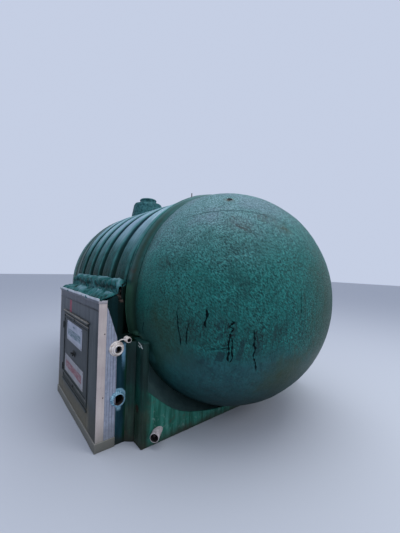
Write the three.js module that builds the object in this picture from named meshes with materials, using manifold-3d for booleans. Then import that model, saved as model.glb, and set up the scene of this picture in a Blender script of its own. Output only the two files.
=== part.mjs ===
import Module from 'manifold-3d';
import * as THREE from 'three';
import { mergeVertices } from 'three/addons/utils/BufferGeometryUtils.js';

// A flare knockout drum: a horizontal glass-fibre tank with two domed ends and a ribbed barrel.
// It lies in a moulded base, and a small valve house is built against its left side.
// Millimetres, +Z up. Facing the near dome, +X is to the right and +Y runs along the tank, away.
// Inside this file the tank's axis is x = 0 and the near dome's widest section is y = 0.
// The last group moves all of it, so that the origin is under the middle of the whole object.

const wasm = await Module();
wasm.setup();

// Tank
const AXIS_Z = 1300;
const DOME_RADIUS = 1247;
const DOME_DEPTH = 1176;
const BARREL_LENGTH = 2220;
const SHELL = 12;
const LIP_RADIUS = 1282;
const BAND_FRONT_RADIUS = 1268;
const LIP_Y = 161;
const REAR_BAND_RADIUS = 1252;
const BAND_END_Y = 190;
const RIB_CREST = 1262;
const RIB_VALLEY = 1230;
const GROOVES_Y = [620, 1050, 1410, 1770];
const AROUND = 40;
const DOME_STEPS = 9;
const RIB_STEPS = 6;

// Hatch and the thin rod on top of the barrel
const HATCH_Y = 2180;
const COLLAR_FOOT_RADIUS = 305;
const COLLAR_TOP_RADIUS = 252;
const COLLAR_TOP_Z = 2806;
const CAP_RADIUS = 155;
const CAP_HEIGHT = 100;
const ROD_Y = 810;
const ROD_RADIUS = 8;
const ROD_TOP_Z = 2752;

// Base
const BASE_WALL = 15;
const BASE_HALF_WIDTH = 1266;
const BASE_OVERHANG = 237;
const BASE_WALL_TOP = 950;
const POST_INNER_X = 1212;
const END_EDGE = [[0, 46], [283, 80], [528, 122], [728, 172], [913, 256], [1084, 390], [POST_INNER_X, 508]];
const END_EDGE_STEPS = 12;
const FAIRING_SKIN = 10;
const FAIRING_CLIMB = 4;
const FAIRING_ROOT_RADIUS = DOME_RADIUS + 3;

// Valve house
const PANEL_X = -1604;
const PANEL_WALL = 30;
const HOUSE_NEAR_Y = -33;
const HOUSE_FAR_Y = 1407;
const SILL_Z = 84;
const PANEL_TOP = 1304;
const PANEL_SEAM = 1232;
const FLASHING_Z = 1300;
const FLASHING_TOP = 1344;
const FLASHING_END_TOP = 1326;
const TRIM = 8;
const SILL_DEPTH = 12;
const FLASHING = 6;
const WALL_EDGE_X = -1384;
const WALL_STEP_X = -1304;
const WALL_STEP_Z = 1006;
const RETURN_END = [-1208, 290];
const CORNER_FOOT = [-1338, HOUSE_NEAR_Y];
const CORNER_NOSE = [-BASE_HALF_WIDTH, -90];
const TRIM_WIDTH = 71;
const STRIP_EDGE_X = -1430;
const STRIP_BEND_Z = 975;
const STRIP_TOP_Z = 1262;
const STRIP_FLUTES = 4;
const STRIP_SHEET = 2;
const STRIP_DEPTH = 5;
const ROOF_SKIN = 14;
const ROOF_EAVE_Z = 1320;
const ROOF_STEP_X = -1441;
const ROOF_STEP_Z = 1384;
const LEDGE_X = -1420;
const LEDGE_Z = 1482;
const LEDGE_LAP = 6;
const LEDGE_NEAR_Y = 176;
const ROOF_FAR_Y = 1466;

// Pipes. Each wall pipe has its centre, its rim, how far the rim and the pipe stand out, and its bore
const PIPE_SIDES = 20;
const BORE_REACH = 100;
const WALL_PIPES = {
  upper: { x: -1437, z: 885, rim: 68, rimDepth: 22, outer: 54, bore: 44, reach: 62 },
  small: { x: -1345, z: 961, rim: 26, rimDepth: 8, outer: 23, bore: 17, reach: 70 },
  lower: { x: -1415, z: 427, rim: 67, rimDepth: 20, outer: 56, bore: 45, reach: 42 },
};
const STUB_X = -1102;
const STUB_Z = 114;
const STUB_RADIUS = 42;
const STUB_BORE = 36;
const STUB_REACH = 105;
const STUB_TURN = 45;

// Door
const DOOR_NEAR_Y = 225;
const DOOR_FAR_Y = 1170;
const DOOR_LOW = 275;
const DOOR_TOP = 1045;
const DOOR_GAP = 8;
const DOOR_THICK = 28;
const CAP_REACH = 18;
const CAP_LOW = DOOR_TOP + DOOR_GAP + 9;
const CAP_TALL = 26;
const FOOT_REACH = 12;
const FOOT_TOP = DOOR_LOW - DOOR_GAP - 2;
const FOOT_TALL = 24;
const KNUCKLE = 7;
const HINGE_PLATE = 4;
const HINGE_REACH = 36;
const HINGE_HALF = 40;
const HINGE_ARM = 9;
const HINGE_HEIGHTS = { lower: 400, upper: 900 };
const SIGN_THICK = 3;
const UPPER_SIGN = { y: [425, 1040], z: [760, 982] };
const LOWER_SIGN = { y: [352, 1100], z: [380, 578] };
const HANDLE = { y: 712, z: 664 };
const HANDLE_REACH = 34;

// Two faces that touch are this far apart
const GAP = 0.4;

const finish = (colour, roughness, metalness = 0) =>
  new THREE.MeshStandardMaterial({ color: colour, roughness, metalness });
const domeGreen = finish('#2f6b62', 0.5);
const ribGreen = finish('#4f7f7b', 0.55);
const bandGreen = finish('#1f7263', 0.45);
const baseGreen = finish('#2f7a58', 0.45);
const houseGreen = finish('#2a5c5a', 0.6);
const fairingGrey = finish('#3c4a50', 0.6);
const panelGrey = finish('#5d6069', 0.55, 0.2);
const trimBeige = finish('#b5aaa2', 0.6, 0.1);
const galvanised = finish('#9aa3b4', 0.4, 0.8);
const plastic = finish('#d8cdb8', 0.45);
const signWhite = finish('#b9bfca', 0.5);
const darkIron = finish('#1d1f21', 0.6, 0.7);

// A closed mesh becomes a solid: shared points merged, flat triangles dropped, faces turned out
function toSolid(geometry) {
  const bare = geometry.clone();
  bare.deleteAttribute('normal');
  bare.deleteAttribute('uv');
  const merged = mergeVertices(bare, 1e-3);
  const place = merged.getAttribute('position');
  const index = Array.from(merged.getIndex().array);
  const corner = [0, 1, 2].map(() => new THREE.Vector3());
  let triangles = [];
  let volume = 0;
  for (let i = 0; i < index.length; i += 3) {
    const [a, b, c] = index.slice(i, i + 3);
    if (a === b || b === c || c === a) continue;
    triangles.push([a, b, c]);
    [a, b, c].forEach((n, k) => corner[k].fromBufferAttribute(place, n));
    volume += corner[0].dot(corner[1].clone().cross(corner[2]));
  }
  if (volume < 0) triangles = triangles.map(([a, b, c]) => [a, c, b]);
  const mesh = new wasm.Mesh({
    numProp: 3,
    vertProperties: Float32Array.from(place.array),
    triVerts: Uint32Array.from(triangles.flat()),
  });
  return new wasm.Manifold(mesh);
}

function toMesh(name, solid, material) {
  const found = solid.getMesh();
  const geometry = new THREE.BufferGeometry();
  geometry.setAttribute('position', new THREE.BufferAttribute(Float32Array.from(found.vertProperties), 3));
  geometry.setIndex(Array.from(found.triVerts));
  geometry.computeVertexNormals();
  const mesh = new THREE.Mesh(geometry, material);
  mesh.name = name;
  return mesh;
}

function block(x0, x1, y0, y1, z0, z1) {
  const geometry = new THREE.BoxGeometry(Math.abs(x1 - x0), Math.abs(y1 - y0), Math.abs(z1 - z0));
  geometry.translate((x0 + x1) / 2, (y0 + y1) / 2, (z0 + z1) / 2);
  return toSolid(geometry);
}

// An outline [u, v] drawn out between two planes. The axis is 'x', 'y' or 'z'
function drawnOut(outline, axis, from, to) {
  const shape = new THREE.Shape(outline.map(([u, v]) => new THREE.Vector2(u, v)));
  const geometry = new THREE.ExtrudeGeometry(shape, { depth: to - from, bevelEnabled: false });
  geometry.translate(0, 0, from);
  const [ex, ey, ez] = [[1, 0, 0], [0, 1, 0], [0, 0, 1]].map((v) => new THREE.Vector3(...v));
  const basis = new THREE.Matrix4();
  if (axis === 'x') basis.makeBasis(ey, ez, ex);
  if (axis === 'y') basis.makeBasis(ex, ez, ey);
  if (axis === 'z') basis.makeBasis(ex, ey, ez);
  geometry.applyMatrix4(basis);
  return toSolid(geometry);
}

// A closed profile [y, r] turned about the tank's axis
function turned(profile) {
  const points = profile.map(([y, r]) => new THREE.Vector2(r, y));
  const geometry = new THREE.LatheGeometry([...points, points[0]], AROUND);
  geometry.translate(0, 0, AXIS_Z);
  return toSolid(geometry);
}

// A closed profile [r, z] turned about an upright line
function turnedUpright(profile, x, y, segments) {
  const points = profile.map(([r, z]) => new THREE.Vector2(r, z));
  const geometry = new THREE.LatheGeometry([...points, points[0]], segments);
  geometry.rotateX(Math.PI / 2);
  geometry.translate(x, y, 0);
  return toSolid(geometry);
}

// A line of points [y, r] moved sideways by a distance, outwards where it is positive
function offsetLine(line, distance) {
  return line.map((point, i) => {
    const before = line[Math.max(i - 1, 0)];
    const after = line[Math.min(i + 1, line.length - 1)];
    const length = Math.hypot(after[0] - before[0], after[1] - before[1]);
    const normal = [-(after[1] - before[1]) / length, (after[0] - before[0]) / length];
    return [point[0] + normal[0] * distance, point[1] + normal[1] * distance];
  });
}

// A ring of shell: an outer line, and the same line one skin further in, ending on the same planes
function ringShell(outer, thickness) {
  const first = outer[0][0];
  const last = outer[outer.length - 1][0];
  const inner = offsetLine(outer, -thickness).map(([y, r]) => [Math.min(Math.max(y, first), last), r]);
  inner[0][0] = first;
  inner[inner.length - 1][0] = last;
  return turned([...outer, ...inner.reverse()]);
}

// Quarter of an ellipse from the nose on the axis to the widest section, as [y, r]
function domeLine(radius, depth) {
  const line = [];
  for (let i = 0; i <= DOME_STEPS; i += 1) {
    const turn = (i / DOME_STEPS) * (Math.PI / 2);
    line.push([-depth * Math.cos(turn), i === 0 ? 0 : radius * Math.sin(turn)]);
  }
  return line;
}

// The near half of the band beside a dome: a low step, a slow rise to the lip, and a short fall
const bandLine = [
  [GAP, BAND_FRONT_RADIUS - 12],
  [10, BAND_FRONT_RADIUS],
  [LIP_Y - 14, LIP_RADIUS - 2],
  [LIP_Y, LIP_RADIUS],
  [LIP_Y + 12, LIP_RADIUS - 6],
  [BAND_END_Y - GAP, RIB_VALLEY + 16],
];

// One rib: flat-topped, falling to the groove at each end
function ribLine(from, to) {
  const line = [];
  for (let i = 0; i <= RIB_STEPS; i += 1) {
    const u = -Math.cos((i / RIB_STEPS) * Math.PI);
    const rise = 1 - Math.pow(Math.abs(u), 4);
    line.push([from + ((u + 1) / 2) * (to - from), RIB_VALLEY + (RIB_CREST - RIB_VALLEY) * rise]);
  }
  return line;
}

const mirrored = (line) => line.map(([y, r]) => [BARREL_LENGTH - y, r]).reverse();
const ribStarts = [BAND_END_Y, ...GROOVES_Y];
const ribEnds = [...GROOVES_Y, BARREL_LENGTH - BAND_END_Y];
const rearBandLine = mirrored(bandLine.map(([y, r]) => [y, Math.min(r, REAR_BAND_RADIUS)]));

function dome() {
  const outer = domeLine(DOME_RADIUS, DOME_DEPTH);
  const inner = domeLine(DOME_RADIUS - SHELL, DOME_DEPTH - SHELL);
  return turned([...outer, ...inner.reverse()]);
}

function rearDome() {
  const outer = domeLine(DOME_RADIUS, DOME_DEPTH);
  const inner = domeLine(DOME_RADIUS - SHELL, DOME_DEPTH - SHELL);
  return turned([...outer, ...inner.reverse()].map(([y, r]) => [BARREL_LENGTH - y, r]));
}

const ribLines = ribStarts.map((from, i) => ribLine(from + GAP / 2, ribEnds[i] - GAP / 2));

// The outline of the whole tank from nose to nose, as [y, r]
const outside = [
  ...domeLine(DOME_RADIUS, DOME_DEPTH),
  ...bandLine,
  ...ribLines.flat(),
  ...rearBandLine,
  ...mirrored(domeLine(DOME_RADIUS, DOME_DEPTH)),
];

// The whole tank with its outside moved out by the gap, to cut what stands against it
function tankClearance() {
  const out = offsetLine(outside, GAP * 1.5);
  out[0] = [-DOME_DEPTH - GAP, 0];
  out[out.length - 1] = [BARREL_LENGTH + DOME_DEPTH + GAP, 0];
  return turned(out);
}

const clearance = tankClearance();
const against = (solid) => solid.subtract(clearance);

const BASE_NEAR_Y = -BASE_OVERHANG;
const BASE_FAR_Y = BARREL_LENGTH + BASE_OVERHANG;
const halfIn = BASE_HALF_WIDTH - BASE_WALL;
const wallTop = BASE_WALL_TOP - BASE_WALL - GAP;

// The top edge of an end plate, from the middle out to the right-hand post, as [x, z]
const endEdge = new THREE.SplineCurve(END_EDGE.map(([x, z]) => new THREE.Vector2(x, z)))
  .getPoints(END_EDGE_STEPS)
  .map((point) => [point.x, point.y]);

// An end plate of the base: a hollow curve under the dome, and an upright post at each corner
function endPlate(from, to) {
  const post = [[BASE_HALF_WIDTH, 0], [BASE_HALF_WIDTH, wallTop], [POST_INNER_X, wallTop]];
  const right = [...post, ...endEdge.slice(1).reverse()];
  const left = right.map(([x, z]) => [-x, z]).reverse();
  return drawnOut([...right, endEdge[0], ...left], 'y', from, to);
}

const baseInnerNear = BASE_NEAR_Y + BASE_WALL + GAP;
const baseInnerFar = BASE_FAR_Y - BASE_WALL - GAP;
const sideWall = (x0, x1) => block(x0, x1, baseInnerNear, baseInnerFar, 0, wallTop);

// The tank's outer radius at a place along it
function tankRadius(y) {
  const i = outside.findIndex((point) => point[0] > y);
  const [[y0, r0], [y1, r1]] = [outside[i - 1], outside[i]];
  return r0 + ((r1 - r0) * (y - y0)) / (y1 - y0);
}

// The tank's outline seen from above at one height, on one side, as [x, y]
function besideTank(side, nearY, farY, height) {
  const between = outside.map(([y]) => y).filter((y) => y > nearY && y < farY);
  return [nearY, ...between, farY].map((y) => {
    return [side * (Math.sqrt(tankRadius(y) ** 2 - (height - AXIS_Z) ** 2) + GAP), y];
  });
}

// The level cover between a side wall's top and the tank
function shoulder(side) {
  const outer = side * BASE_HALF_WIDTH;
  const post = side * POST_INNER_X;
  const ends = [[outer, BASE_FAR_Y], [outer, BASE_NEAR_Y], [post, BASE_NEAR_Y]];
  const plan = [...ends, ...besideTank(side, 0, BARREL_LENGTH, BASE_WALL_TOP), [post, BASE_FAR_Y]];
  return drawnOut(plan, 'z', BASE_WALL_TOP - BASE_WALL, BASE_WALL_TOP);
}

// A closed skin between two rails of points, and the same two rails moved out from the tank's axis
function skinBetween(railA, railB, thickness) {
  const moved = ([x, y, z]) => {
    const scale = thickness / Math.hypot(x, z - AXIS_Z);
    return [x * (1 + scale), y, z + (z - AXIS_Z) * scale];
  };
  const rows = [railA, railB, railB.map(moved), railA.map(moved)];
  const count = railA.length;
  const index = [];
  for (let row = 0; row < 4; row += 1) {
    const here = row * count;
    const next = ((row + 1) % 4) * count;
    for (let i = 0; i + 1 < count; i += 1) {
      index.push(here + i, here + i + 1, next + i + 1, here + i, next + i + 1, next + i);
    }
  }
  const last = count - 1;
  index.push(0, count, 2 * count, 0, 2 * count, 3 * count);
  index.push(last, 3 * count + last, 2 * count + last, last, 2 * count + last, count + last);
  const geometry = new THREE.BufferGeometry();
  geometry.setAttribute('position', new THREE.Float32BufferAttribute(rows.flat(2), 3));
  geometry.setIndex(index);
  return toSolid(geometry);
}

// The fairing closes the hollow between an end plate and the tank. Its outer rail runs behind the
// plate's top edge and up behind the posts, and its inner rail goes round the dome's root
function fairing(place) {
  const outerRight = endEdge.map(([x, z]) => [x, z]);
  const [cornerX, cornerZ] = endEdge[endEdge.length - 1];
  for (let i = 1; i <= FAIRING_CLIMB; i += 1) {
    outerRight.push([cornerX, cornerZ + ((wallTop - cornerZ) * i) / FAIRING_CLIMB]);
  }
  const lastAngle = Math.atan2(cornerX, AXIS_Z - wallTop);
  const lastTurn = Math.acos((AXIS_Z - wallTop) / FAIRING_ROOT_RADIUS);
  const innerRight = outerRight.map(([x, z]) => {
    const turn = Math.atan2(x, AXIS_Z - z) * (lastTurn / lastAngle);
    return [FAIRING_ROOT_RADIUS * Math.sin(turn), AXIS_Z - FAIRING_ROOT_RADIUS * Math.cos(turn)];
  });
  const bothSides = (rail) => [...rail.slice(1).reverse().map(([x, z]) => [-x, z]), ...rail];
  const atY = (rail, y) => bothSides(rail).map(([x, z]) => [x, place(y), z]);
  return skinBetween(atY(outerRight, baseInnerNear), atY(innerRight, -GAP), FAIRING_SKIN);
}

const model = new THREE.Group();
const house = new THREE.Group();
const door = new THREE.Group();
model.add(house);
house.add(door);
const put = (group, name, solid, material) => group.add(toMesh(name, solid, material));

// Tank
put(model, 'front_dome', dome(), domeGreen);
put(model, 'front_band', ringShell(bandLine, SHELL), bandGreen);
ribLines.forEach((line, i) => put(model, `barrel_rib_${i + 1}`, ringShell(line, SHELL), ribGreen));
put(model, 'rear_band', ringShell(rearBandLine, SHELL), bandGreen);
put(model, 'rear_dome', rearDome(), domeGreen);

// Hatch: a tapered collar, an open ring inside, and a low round cap
function hatchCollar() {
  const foot = AXIS_Z + RIB_VALLEY - 90;
  const wall = SHELL;
  const profile = [
    [COLLAR_FOOT_RADIUS + 14, foot],
    [COLLAR_TOP_RADIUS + 4, COLLAR_TOP_Z - 24],
    [COLLAR_TOP_RADIUS - 8, COLLAR_TOP_Z],
    [CAP_RADIUS - 20, COLLAR_TOP_Z],
    [CAP_RADIUS - 20, COLLAR_TOP_Z - wall],
    [COLLAR_TOP_RADIUS - wall - 8, COLLAR_TOP_Z - 30],
    [COLLAR_FOOT_RADIUS + 14 - wall, foot],
  ];
  return against(turnedUpright(profile, 0, HATCH_Y, 24));
}

function hatchCap() {
  const low = COLLAR_TOP_Z + GAP;
  const profile = [
    [0, low],
    [CAP_RADIUS - 6, low],
    [CAP_RADIUS, low + 12],
    [CAP_RADIUS, low + CAP_HEIGHT - 30],
    [CAP_RADIUS - 22, low + CAP_HEIGHT - 6],
    [CAP_RADIUS - 60, low + CAP_HEIGHT],
    [0, low + CAP_HEIGHT],
  ];
  return turnedUpright(profile, 0, HATCH_Y, 24);
}

function topRod() {
  const foot = AXIS_Z + RIB_VALLEY - 20;
  const profile = [[0, foot], [ROD_RADIUS, foot], [ROD_RADIUS, ROD_TOP_Z], [0, ROD_TOP_Z]];
  return against(turnedUpright(profile, 0, ROD_Y, 8));
}

put(model, 'hatch_collar', hatchCollar(), ribGreen);
put(model, 'hatch_cap', hatchCap(), ribGreen);
put(model, 'top_rod', topRod(), darkIron);

// Base
put(model, 'base_front_plate', endPlate(BASE_NEAR_Y, BASE_NEAR_Y + BASE_WALL), baseGreen);
put(model, 'base_rear_plate', endPlate(BASE_FAR_Y - BASE_WALL, BASE_FAR_Y), baseGreen);
put(model, 'base_right_wall', sideWall(halfIn, BASE_HALF_WIDTH), baseGreen);
put(model, 'base_left_wall', sideWall(-BASE_HALF_WIDTH, -halfIn), baseGreen);
put(model, 'right_shoulder', shoulder(1), baseGreen);
put(model, 'left_shoulder', shoulder(-1), baseGreen);
put(model, 'front_fairing', fairing((y) => y), fairingGrey);
put(model, 'rear_fairing', fairing((y) => BARREL_LENGTH - y), fairingGrey);

// Valve house: a sheet panel on the outer side, green walls at its two ends, a moulded roof
const panelInner = PANEL_X + PANEL_WALL;
const farInner = HOUSE_FAR_Y - BASE_WALL;
const doorwayNear = DOOR_NEAR_Y - DOOR_GAP;
const doorwayFar = DOOR_FAR_Y + DOOR_GAP;
const doorwayLow = DOOR_LOW - DOOR_GAP;
const doorwayTop = DOOR_TOP + DOOR_GAP;
const roofRise = (ROOF_STEP_Z - ROOF_EAVE_Z) / (ROOF_STEP_X - PANEL_X);
const roofUnder = (x) => ROOF_EAVE_Z + roofRise * (x - PANEL_X) - ROOF_SKIN - GAP;

// A profile [y, r] turned about a level line that runs along y
function turnedAlongY(profile, x, z, segments) {
  const points = profile.map(([y, r]) => new THREE.Vector2(r, y));
  const geometry = new THREE.LatheGeometry([...points, points[0]], segments);
  geometry.translate(x, 0, z);
  return toSolid(geometry);
}

// A solid round bar through the near end wall, to bore holes with
function throughWall(x, z, radius) {
  const [y0, y1] = [HOUSE_NEAR_Y - BORE_REACH, HOUSE_NEAR_Y + BORE_REACH];
  return turnedAlongY([[y0, 0], [y0, radius], [y1, radius], [y1, 0]], x, z, PIPE_SIDES);
}

// An end wall of the house, under the roof and cut to the tank and the base
const overBase = BASE_WALL_TOP + 2 * GAP;
const underLedge = LEDGE_Z - ROOF_SKIN - GAP;
function endWall(y, besideTheTank) {
  const outer = panelInner + GAP;
  const beside = -BASE_HALF_WIDTH - GAP;
  const outline = [
    [outer, 0],
    [beside, 0],
    [beside, overBase],
    ...besideTheTank,
    [ROOF_STEP_X - 2, roofUnder(ROOF_STEP_X - 2)],
    [outer, roofUnder(outer)],
  ];
  return against(drawnOut(outline, 'y', y, y + BASE_WALL));
}

// The near wall is low beside the band, and a dark slot is open between its top and the roof
const nearEdge = [
  [WALL_STEP_X, WALL_STEP_Z],
  [WALL_EDGE_X, WALL_STEP_Z],
  [WALL_EDGE_X, AXIS_Z],
  [LEDGE_X, AXIS_Z],
];
const insideTank = -BASE_HALF_WIDTH + 60;
const farEdge = [
  [insideTank, overBase],
  [insideTank, underLedge],
  [LEDGE_X + ROOF_SKIN + 2 * GAP, underLedge],
  [ROOF_STEP_X + ROOF_SKIN + 2 * GAP, ROOF_STEP_Z - ROOF_SKIN - GAP],
];

// From the near wall's edge an upright sheet turns back to the tank, on a level foot over the base
function returnWall() {
  const front = HOUSE_NEAR_Y + BASE_WALL + GAP;
  const left = WALL_EDGE_X - BASE_WALL;
  const [endX, endY] = RETURN_END;
  const sheetPlan = [[left, front], [WALL_EDGE_X, front], [endX, endY], [endX - BASE_WALL, endY]];
  const footPlan = [[left, front], [insideTank, front], [insideTank, endY], [endX - BASE_WALL, endY]];
  const sheet = drawnOut(sheetPlan, 'z', overBase, underLedge);
  return against(sheet.add(drawnOut(footPlan, 'z', overBase, overBase + SHELL)));
}

// The base's near left corner turns out to meet the end wall: one upright slanting sheet
function cornerSheet() {
  const [footX, footY] = CORNER_FOOT;
  const [noseX, noseY] = CORNER_NOSE;
  const plan = [
    [footX, footY - GAP],
    [noseX - GAP, noseY],
    [noseX - GAP, noseY + BASE_WALL],
    [footX + 2 * BASE_WALL, footY - GAP],
  ];
  return drawnOut(plan, 'z', 0, wallTop);
}

// Flutes of the galvanised strip in plan, cut to its slanting outline
function corrugatedStrip() {
  const left = PANEL_X + TRIM_WIDTH + GAP;
  const back = HOUSE_NEAR_Y - GAP;
  const pitch = (STRIP_EDGE_X - left) / STRIP_FLUTES;
  const face = [];
  for (let i = 0; i < STRIP_FLUTES; i += 1) {
    const x = left + i * pitch;
    face.push([x, back - STRIP_SHEET]);
    face.push([x + pitch * 0.15, back - STRIP_SHEET]);
    face.push([x + pitch * 0.35, back - STRIP_SHEET - STRIP_DEPTH]);
    face.push([x + pitch * 0.65, back - STRIP_SHEET - STRIP_DEPTH]);
    face.push([x + pitch * 0.85, back - STRIP_SHEET]);
  }
  const plan = [...face, [STRIP_EDGE_X, back - STRIP_SHEET], [STRIP_EDGE_X, back], [left, back]];
  const outline = [
    [left - 1, SILL_Z + GAP],
    [STRIP_EDGE_X + 1, SILL_Z + GAP],
    [STRIP_EDGE_X + 1, STRIP_BEND_Z],
    [left + 6, STRIP_TOP_Z],
    [left - 1, STRIP_TOP_Z],
  ];
  const flutes = drawnOut(plan, 'z', 0, PANEL_TOP);
  return flutes.intersect(drawnOut(outline, 'y', HOUSE_NEAR_Y - 40, HOUSE_NEAR_Y));
}

// A short pipe through the near end wall: a rim against the wall and a bore all the way
function wallPipe({ x, z, rim, rimDepth, outer, bore, reach }) {
  const face = HOUSE_NEAR_Y - GAP;
  const profile = [
    [face, bore],
    [face, rim],
    [face - rimDepth, rim],
    [face - rimDepth - 3, outer],
    [face - reach, outer],
    [face - reach, bore],
  ];
  return turnedAlongY(profile, x, z, PIPE_SIDES);
}

// The low stub leaves the base's front plate sideways, cut flush with the plate
function lowStub() {
  const profile = [[60, STUB_BORE], [60, STUB_RADIUS], [-STUB_REACH, STUB_RADIUS], [-STUB_REACH, STUB_BORE]];
  const tube = turnedAlongY(profile, 0, 0, PIPE_SIDES)
    .rotate([0, 0, -STUB_TURN])
    .translate([STUB_X, BASE_NEAR_Y, STUB_Z]);
  return tube.subtract(block(STUB_X - 300, STUB_X + 300, BASE_NEAR_Y - GAP, BASE_NEAR_Y + 300, -100, 400));
}

const pipeHole = ({ x, z, bore }) => throughWall(x, z, bore);
const pipeRoom = ({ x, z, rim }) => throughWall(x, z, rim + GAP);
const wallPipes = Object.values(WALL_PIPES);
const bored = (solid, tool) => wallPipes.reduce((left, pipe) => left.subtract(tool(pipe)), solid);

put(house, 'near_end_wall', bored(endWall(HOUSE_NEAR_Y, nearEdge), pipeHole), houseGreen);
put(house, 'return_wall', returnWall(), houseGreen);
put(house, 'far_end_wall', endWall(farInner, farEdge), houseGreen);
put(house, 'corner_sheet', cornerSheet(), baseGreen);

const panel = (y0, y1, z0, z1) => block(PANEL_X, panelInner, y0, y1, z0, z1);
put(house, 'panel_near', panel(HOUSE_NEAR_Y, doorwayNear - GAP, SILL_Z, PANEL_SEAM - GAP), panelGrey);
put(house, 'panel_far', panel(doorwayFar + GAP, HOUSE_FAR_Y, SILL_Z, PANEL_SEAM - GAP), panelGrey);
put(house, 'panel_under', panel(doorwayNear, doorwayFar, SILL_Z, doorwayLow), panelGrey);
put(house, 'panel_over', panel(doorwayNear, doorwayFar, doorwayTop, PANEL_SEAM - GAP), panelGrey);
put(house, 'panel_header', panel(HOUSE_NEAR_Y, HOUSE_FAR_Y, PANEL_SEAM, PANEL_TOP), panelGrey);

// Trims stand on the faces of the walls, a few millimetres proud
const trimFace = HOUSE_NEAR_Y - GAP;
const trimFarFace = HOUSE_FAR_Y + GAP;
const trimEnd = PANEL_X + TRIM_WIDTH;
const cornerTrim = (y0, y1) => block(PANEL_X, trimEnd, y0, y1, SILL_Z, PANEL_TOP);
put(house, 'near_corner_trim', cornerTrim(trimFace - TRIM, trimFace), trimBeige);
put(house, 'far_corner_trim', cornerTrim(trimFarFace, trimFarFace + TRIM), trimBeige);
put(house, 'corrugated_strip', bored(corrugatedStrip(), pipeRoom), galvanised);
const sillX = PANEL_X - TRIM;
const sillNear = trimFace - SILL_DEPTH;
const sillFar = trimFarFace + SILL_DEPTH;
const sill = (x1, y0, y1) => block(sillX, x1, y0, y1, 0, SILL_Z - GAP);
put(house, 'panel_sill', sill(panelInner, HOUSE_NEAR_Y, HOUSE_FAR_Y), trimBeige);
put(house, 'near_sill', sill(STRIP_EDGE_X, sillNear, trimFace), trimBeige);
put(house, 'far_sill', sill(STRIP_EDGE_X, trimFarFace, sillFar), trimBeige);
const flashX = PANEL_X - GAP;
const flashOut = flashX - FLASHING;
const flashing = block(flashOut, flashX, sillNear, HOUSE_FAR_Y, FLASHING_Z, FLASHING_TOP);
const flashingEnd = block(flashOut, trimEnd, sillNear, trimFace - TRIM - GAP, FLASHING_Z, FLASHING_END_TOP);
put(house, 'top_flashing', flashing.add(flashingEnd), trimBeige);

// Roof: a slope over the panel, an upright step, and a ledge in to the barrel
const slope = [
  [PANEL_X, ROOF_EAVE_Z],
  [PANEL_X, ROOF_EAVE_Z - ROOF_SKIN],
  [ROOF_STEP_X, ROOF_STEP_Z - ROOF_SKIN],
  [ROOF_STEP_X, ROOF_STEP_Z],
];
const stepX = ROOF_STEP_X + GAP;
const ledgeUnder = LEDGE_Z - ROOF_SKIN;
const step = [
  [stepX, ROOF_STEP_Z],
  [stepX, ROOF_STEP_Z - ROOF_SKIN],
  [stepX + ROOF_SKIN, ROOF_STEP_Z - ROOF_SKIN],
  [LEDGE_X + ROOF_SKIN, ledgeUnder - GAP],
  [LEDGE_X, ledgeUnder - GAP],
];
put(house, 'roof_slope', drawnOut(slope, 'y', trimFace - TRIM, ROOF_FAR_Y), ribGreen);
put(house, 'roof_step', drawnOut(step, 'y', LEDGE_NEAR_Y, ROOF_FAR_Y), ribGreen);
const ledgeX = LEDGE_X - LEDGE_LAP;
const ledgeInner = besideTank(-1, LEDGE_NEAR_Y, ROOF_FAR_Y, ledgeUnder);
const ledge = [[ledgeX, ROOF_FAR_Y], [ledgeX, LEDGE_NEAR_Y], ...ledgeInner];
put(house, 'roof_ledge', drawnOut(ledge, 'z', ledgeUnder, LEDGE_Z), ribGreen);

// Pipes
put(house, 'upper_pipe', wallPipe(WALL_PIPES.upper), plastic);
put(house, 'small_pipe', wallPipe(WALL_PIPES.small), plastic);
put(house, 'lower_sleeve', wallPipe(WALL_PIPES.lower), plastic);
put(model, 'low_stub', lowStub(), plastic);

// Doorway trims, fixed to the panel above and under the leaf
const trimOut = PANEL_X - GAP;
const onPanel = (reach, low, high) => block(trimOut - reach, trimOut, doorwayNear, doorwayFar, low, high);
put(house, 'drip_cap', onPanel(CAP_REACH, CAP_LOW, CAP_LOW + CAP_TALL), panelGrey);
put(house, 'door_foot_trim', onPanel(FOOT_REACH, FOOT_TOP - FOOT_TALL, FOOT_TOP), panelGrey);

// Door: a flush leaf with what is fixed to it, hung on its far edge
const leafInner = PANEL_X + DOOR_THICK;
put(door, 'door_leaf', block(PANEL_X, leafInner, DOOR_NEAR_Y, DOOR_FAR_Y, DOOR_LOW, DOOR_TOP), panelGrey);
const onLeaf = ([y0, y1], [z0, z1], thick) => block(trimOut - thick, trimOut, y0, y1, z0, z1);
put(door, 'upper_sign', onLeaf(UPPER_SIGN.y, UPPER_SIGN.z, SIGN_THICK), signWhite);
put(door, 'lower_sign', onLeaf(LOWER_SIGN.y, LOWER_SIGN.z, SIGN_THICK), signWhite);

function doorHandle() {
  const { y, z } = HANDLE;
  const plate = block(trimOut - 6, trimOut, y - 42, y + 42, z - 26, z + 26);
  const stem = block(trimOut - 24, trimOut - 3, y - 30, y - 14, z - 12, z + 12);
  const grip = block(trimOut - HANDLE_REACH, trimOut - 22, y - 34, y + 34, z - 9, z + 9);
  const post = block(trimOut - 24, trimOut - 3, y + 14, y + 30, z - 12, z + 12);
  return plate.add(stem).add(post).add(grip);
}

put(door, 'door_handle', doorHandle(), darkIron);
const catchY = HANDLE.y + 20;
const catchAt = (z) => block(trimOut - 9, trimOut, catchY - 22, catchY + 22, z - 14, z + 14);
put(door, 'top_catch', catchAt(DOOR_TOP - 16), darkIron);
put(door, 'bottom_catch', catchAt(DOOR_LOW + 36), darkIron);

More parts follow.
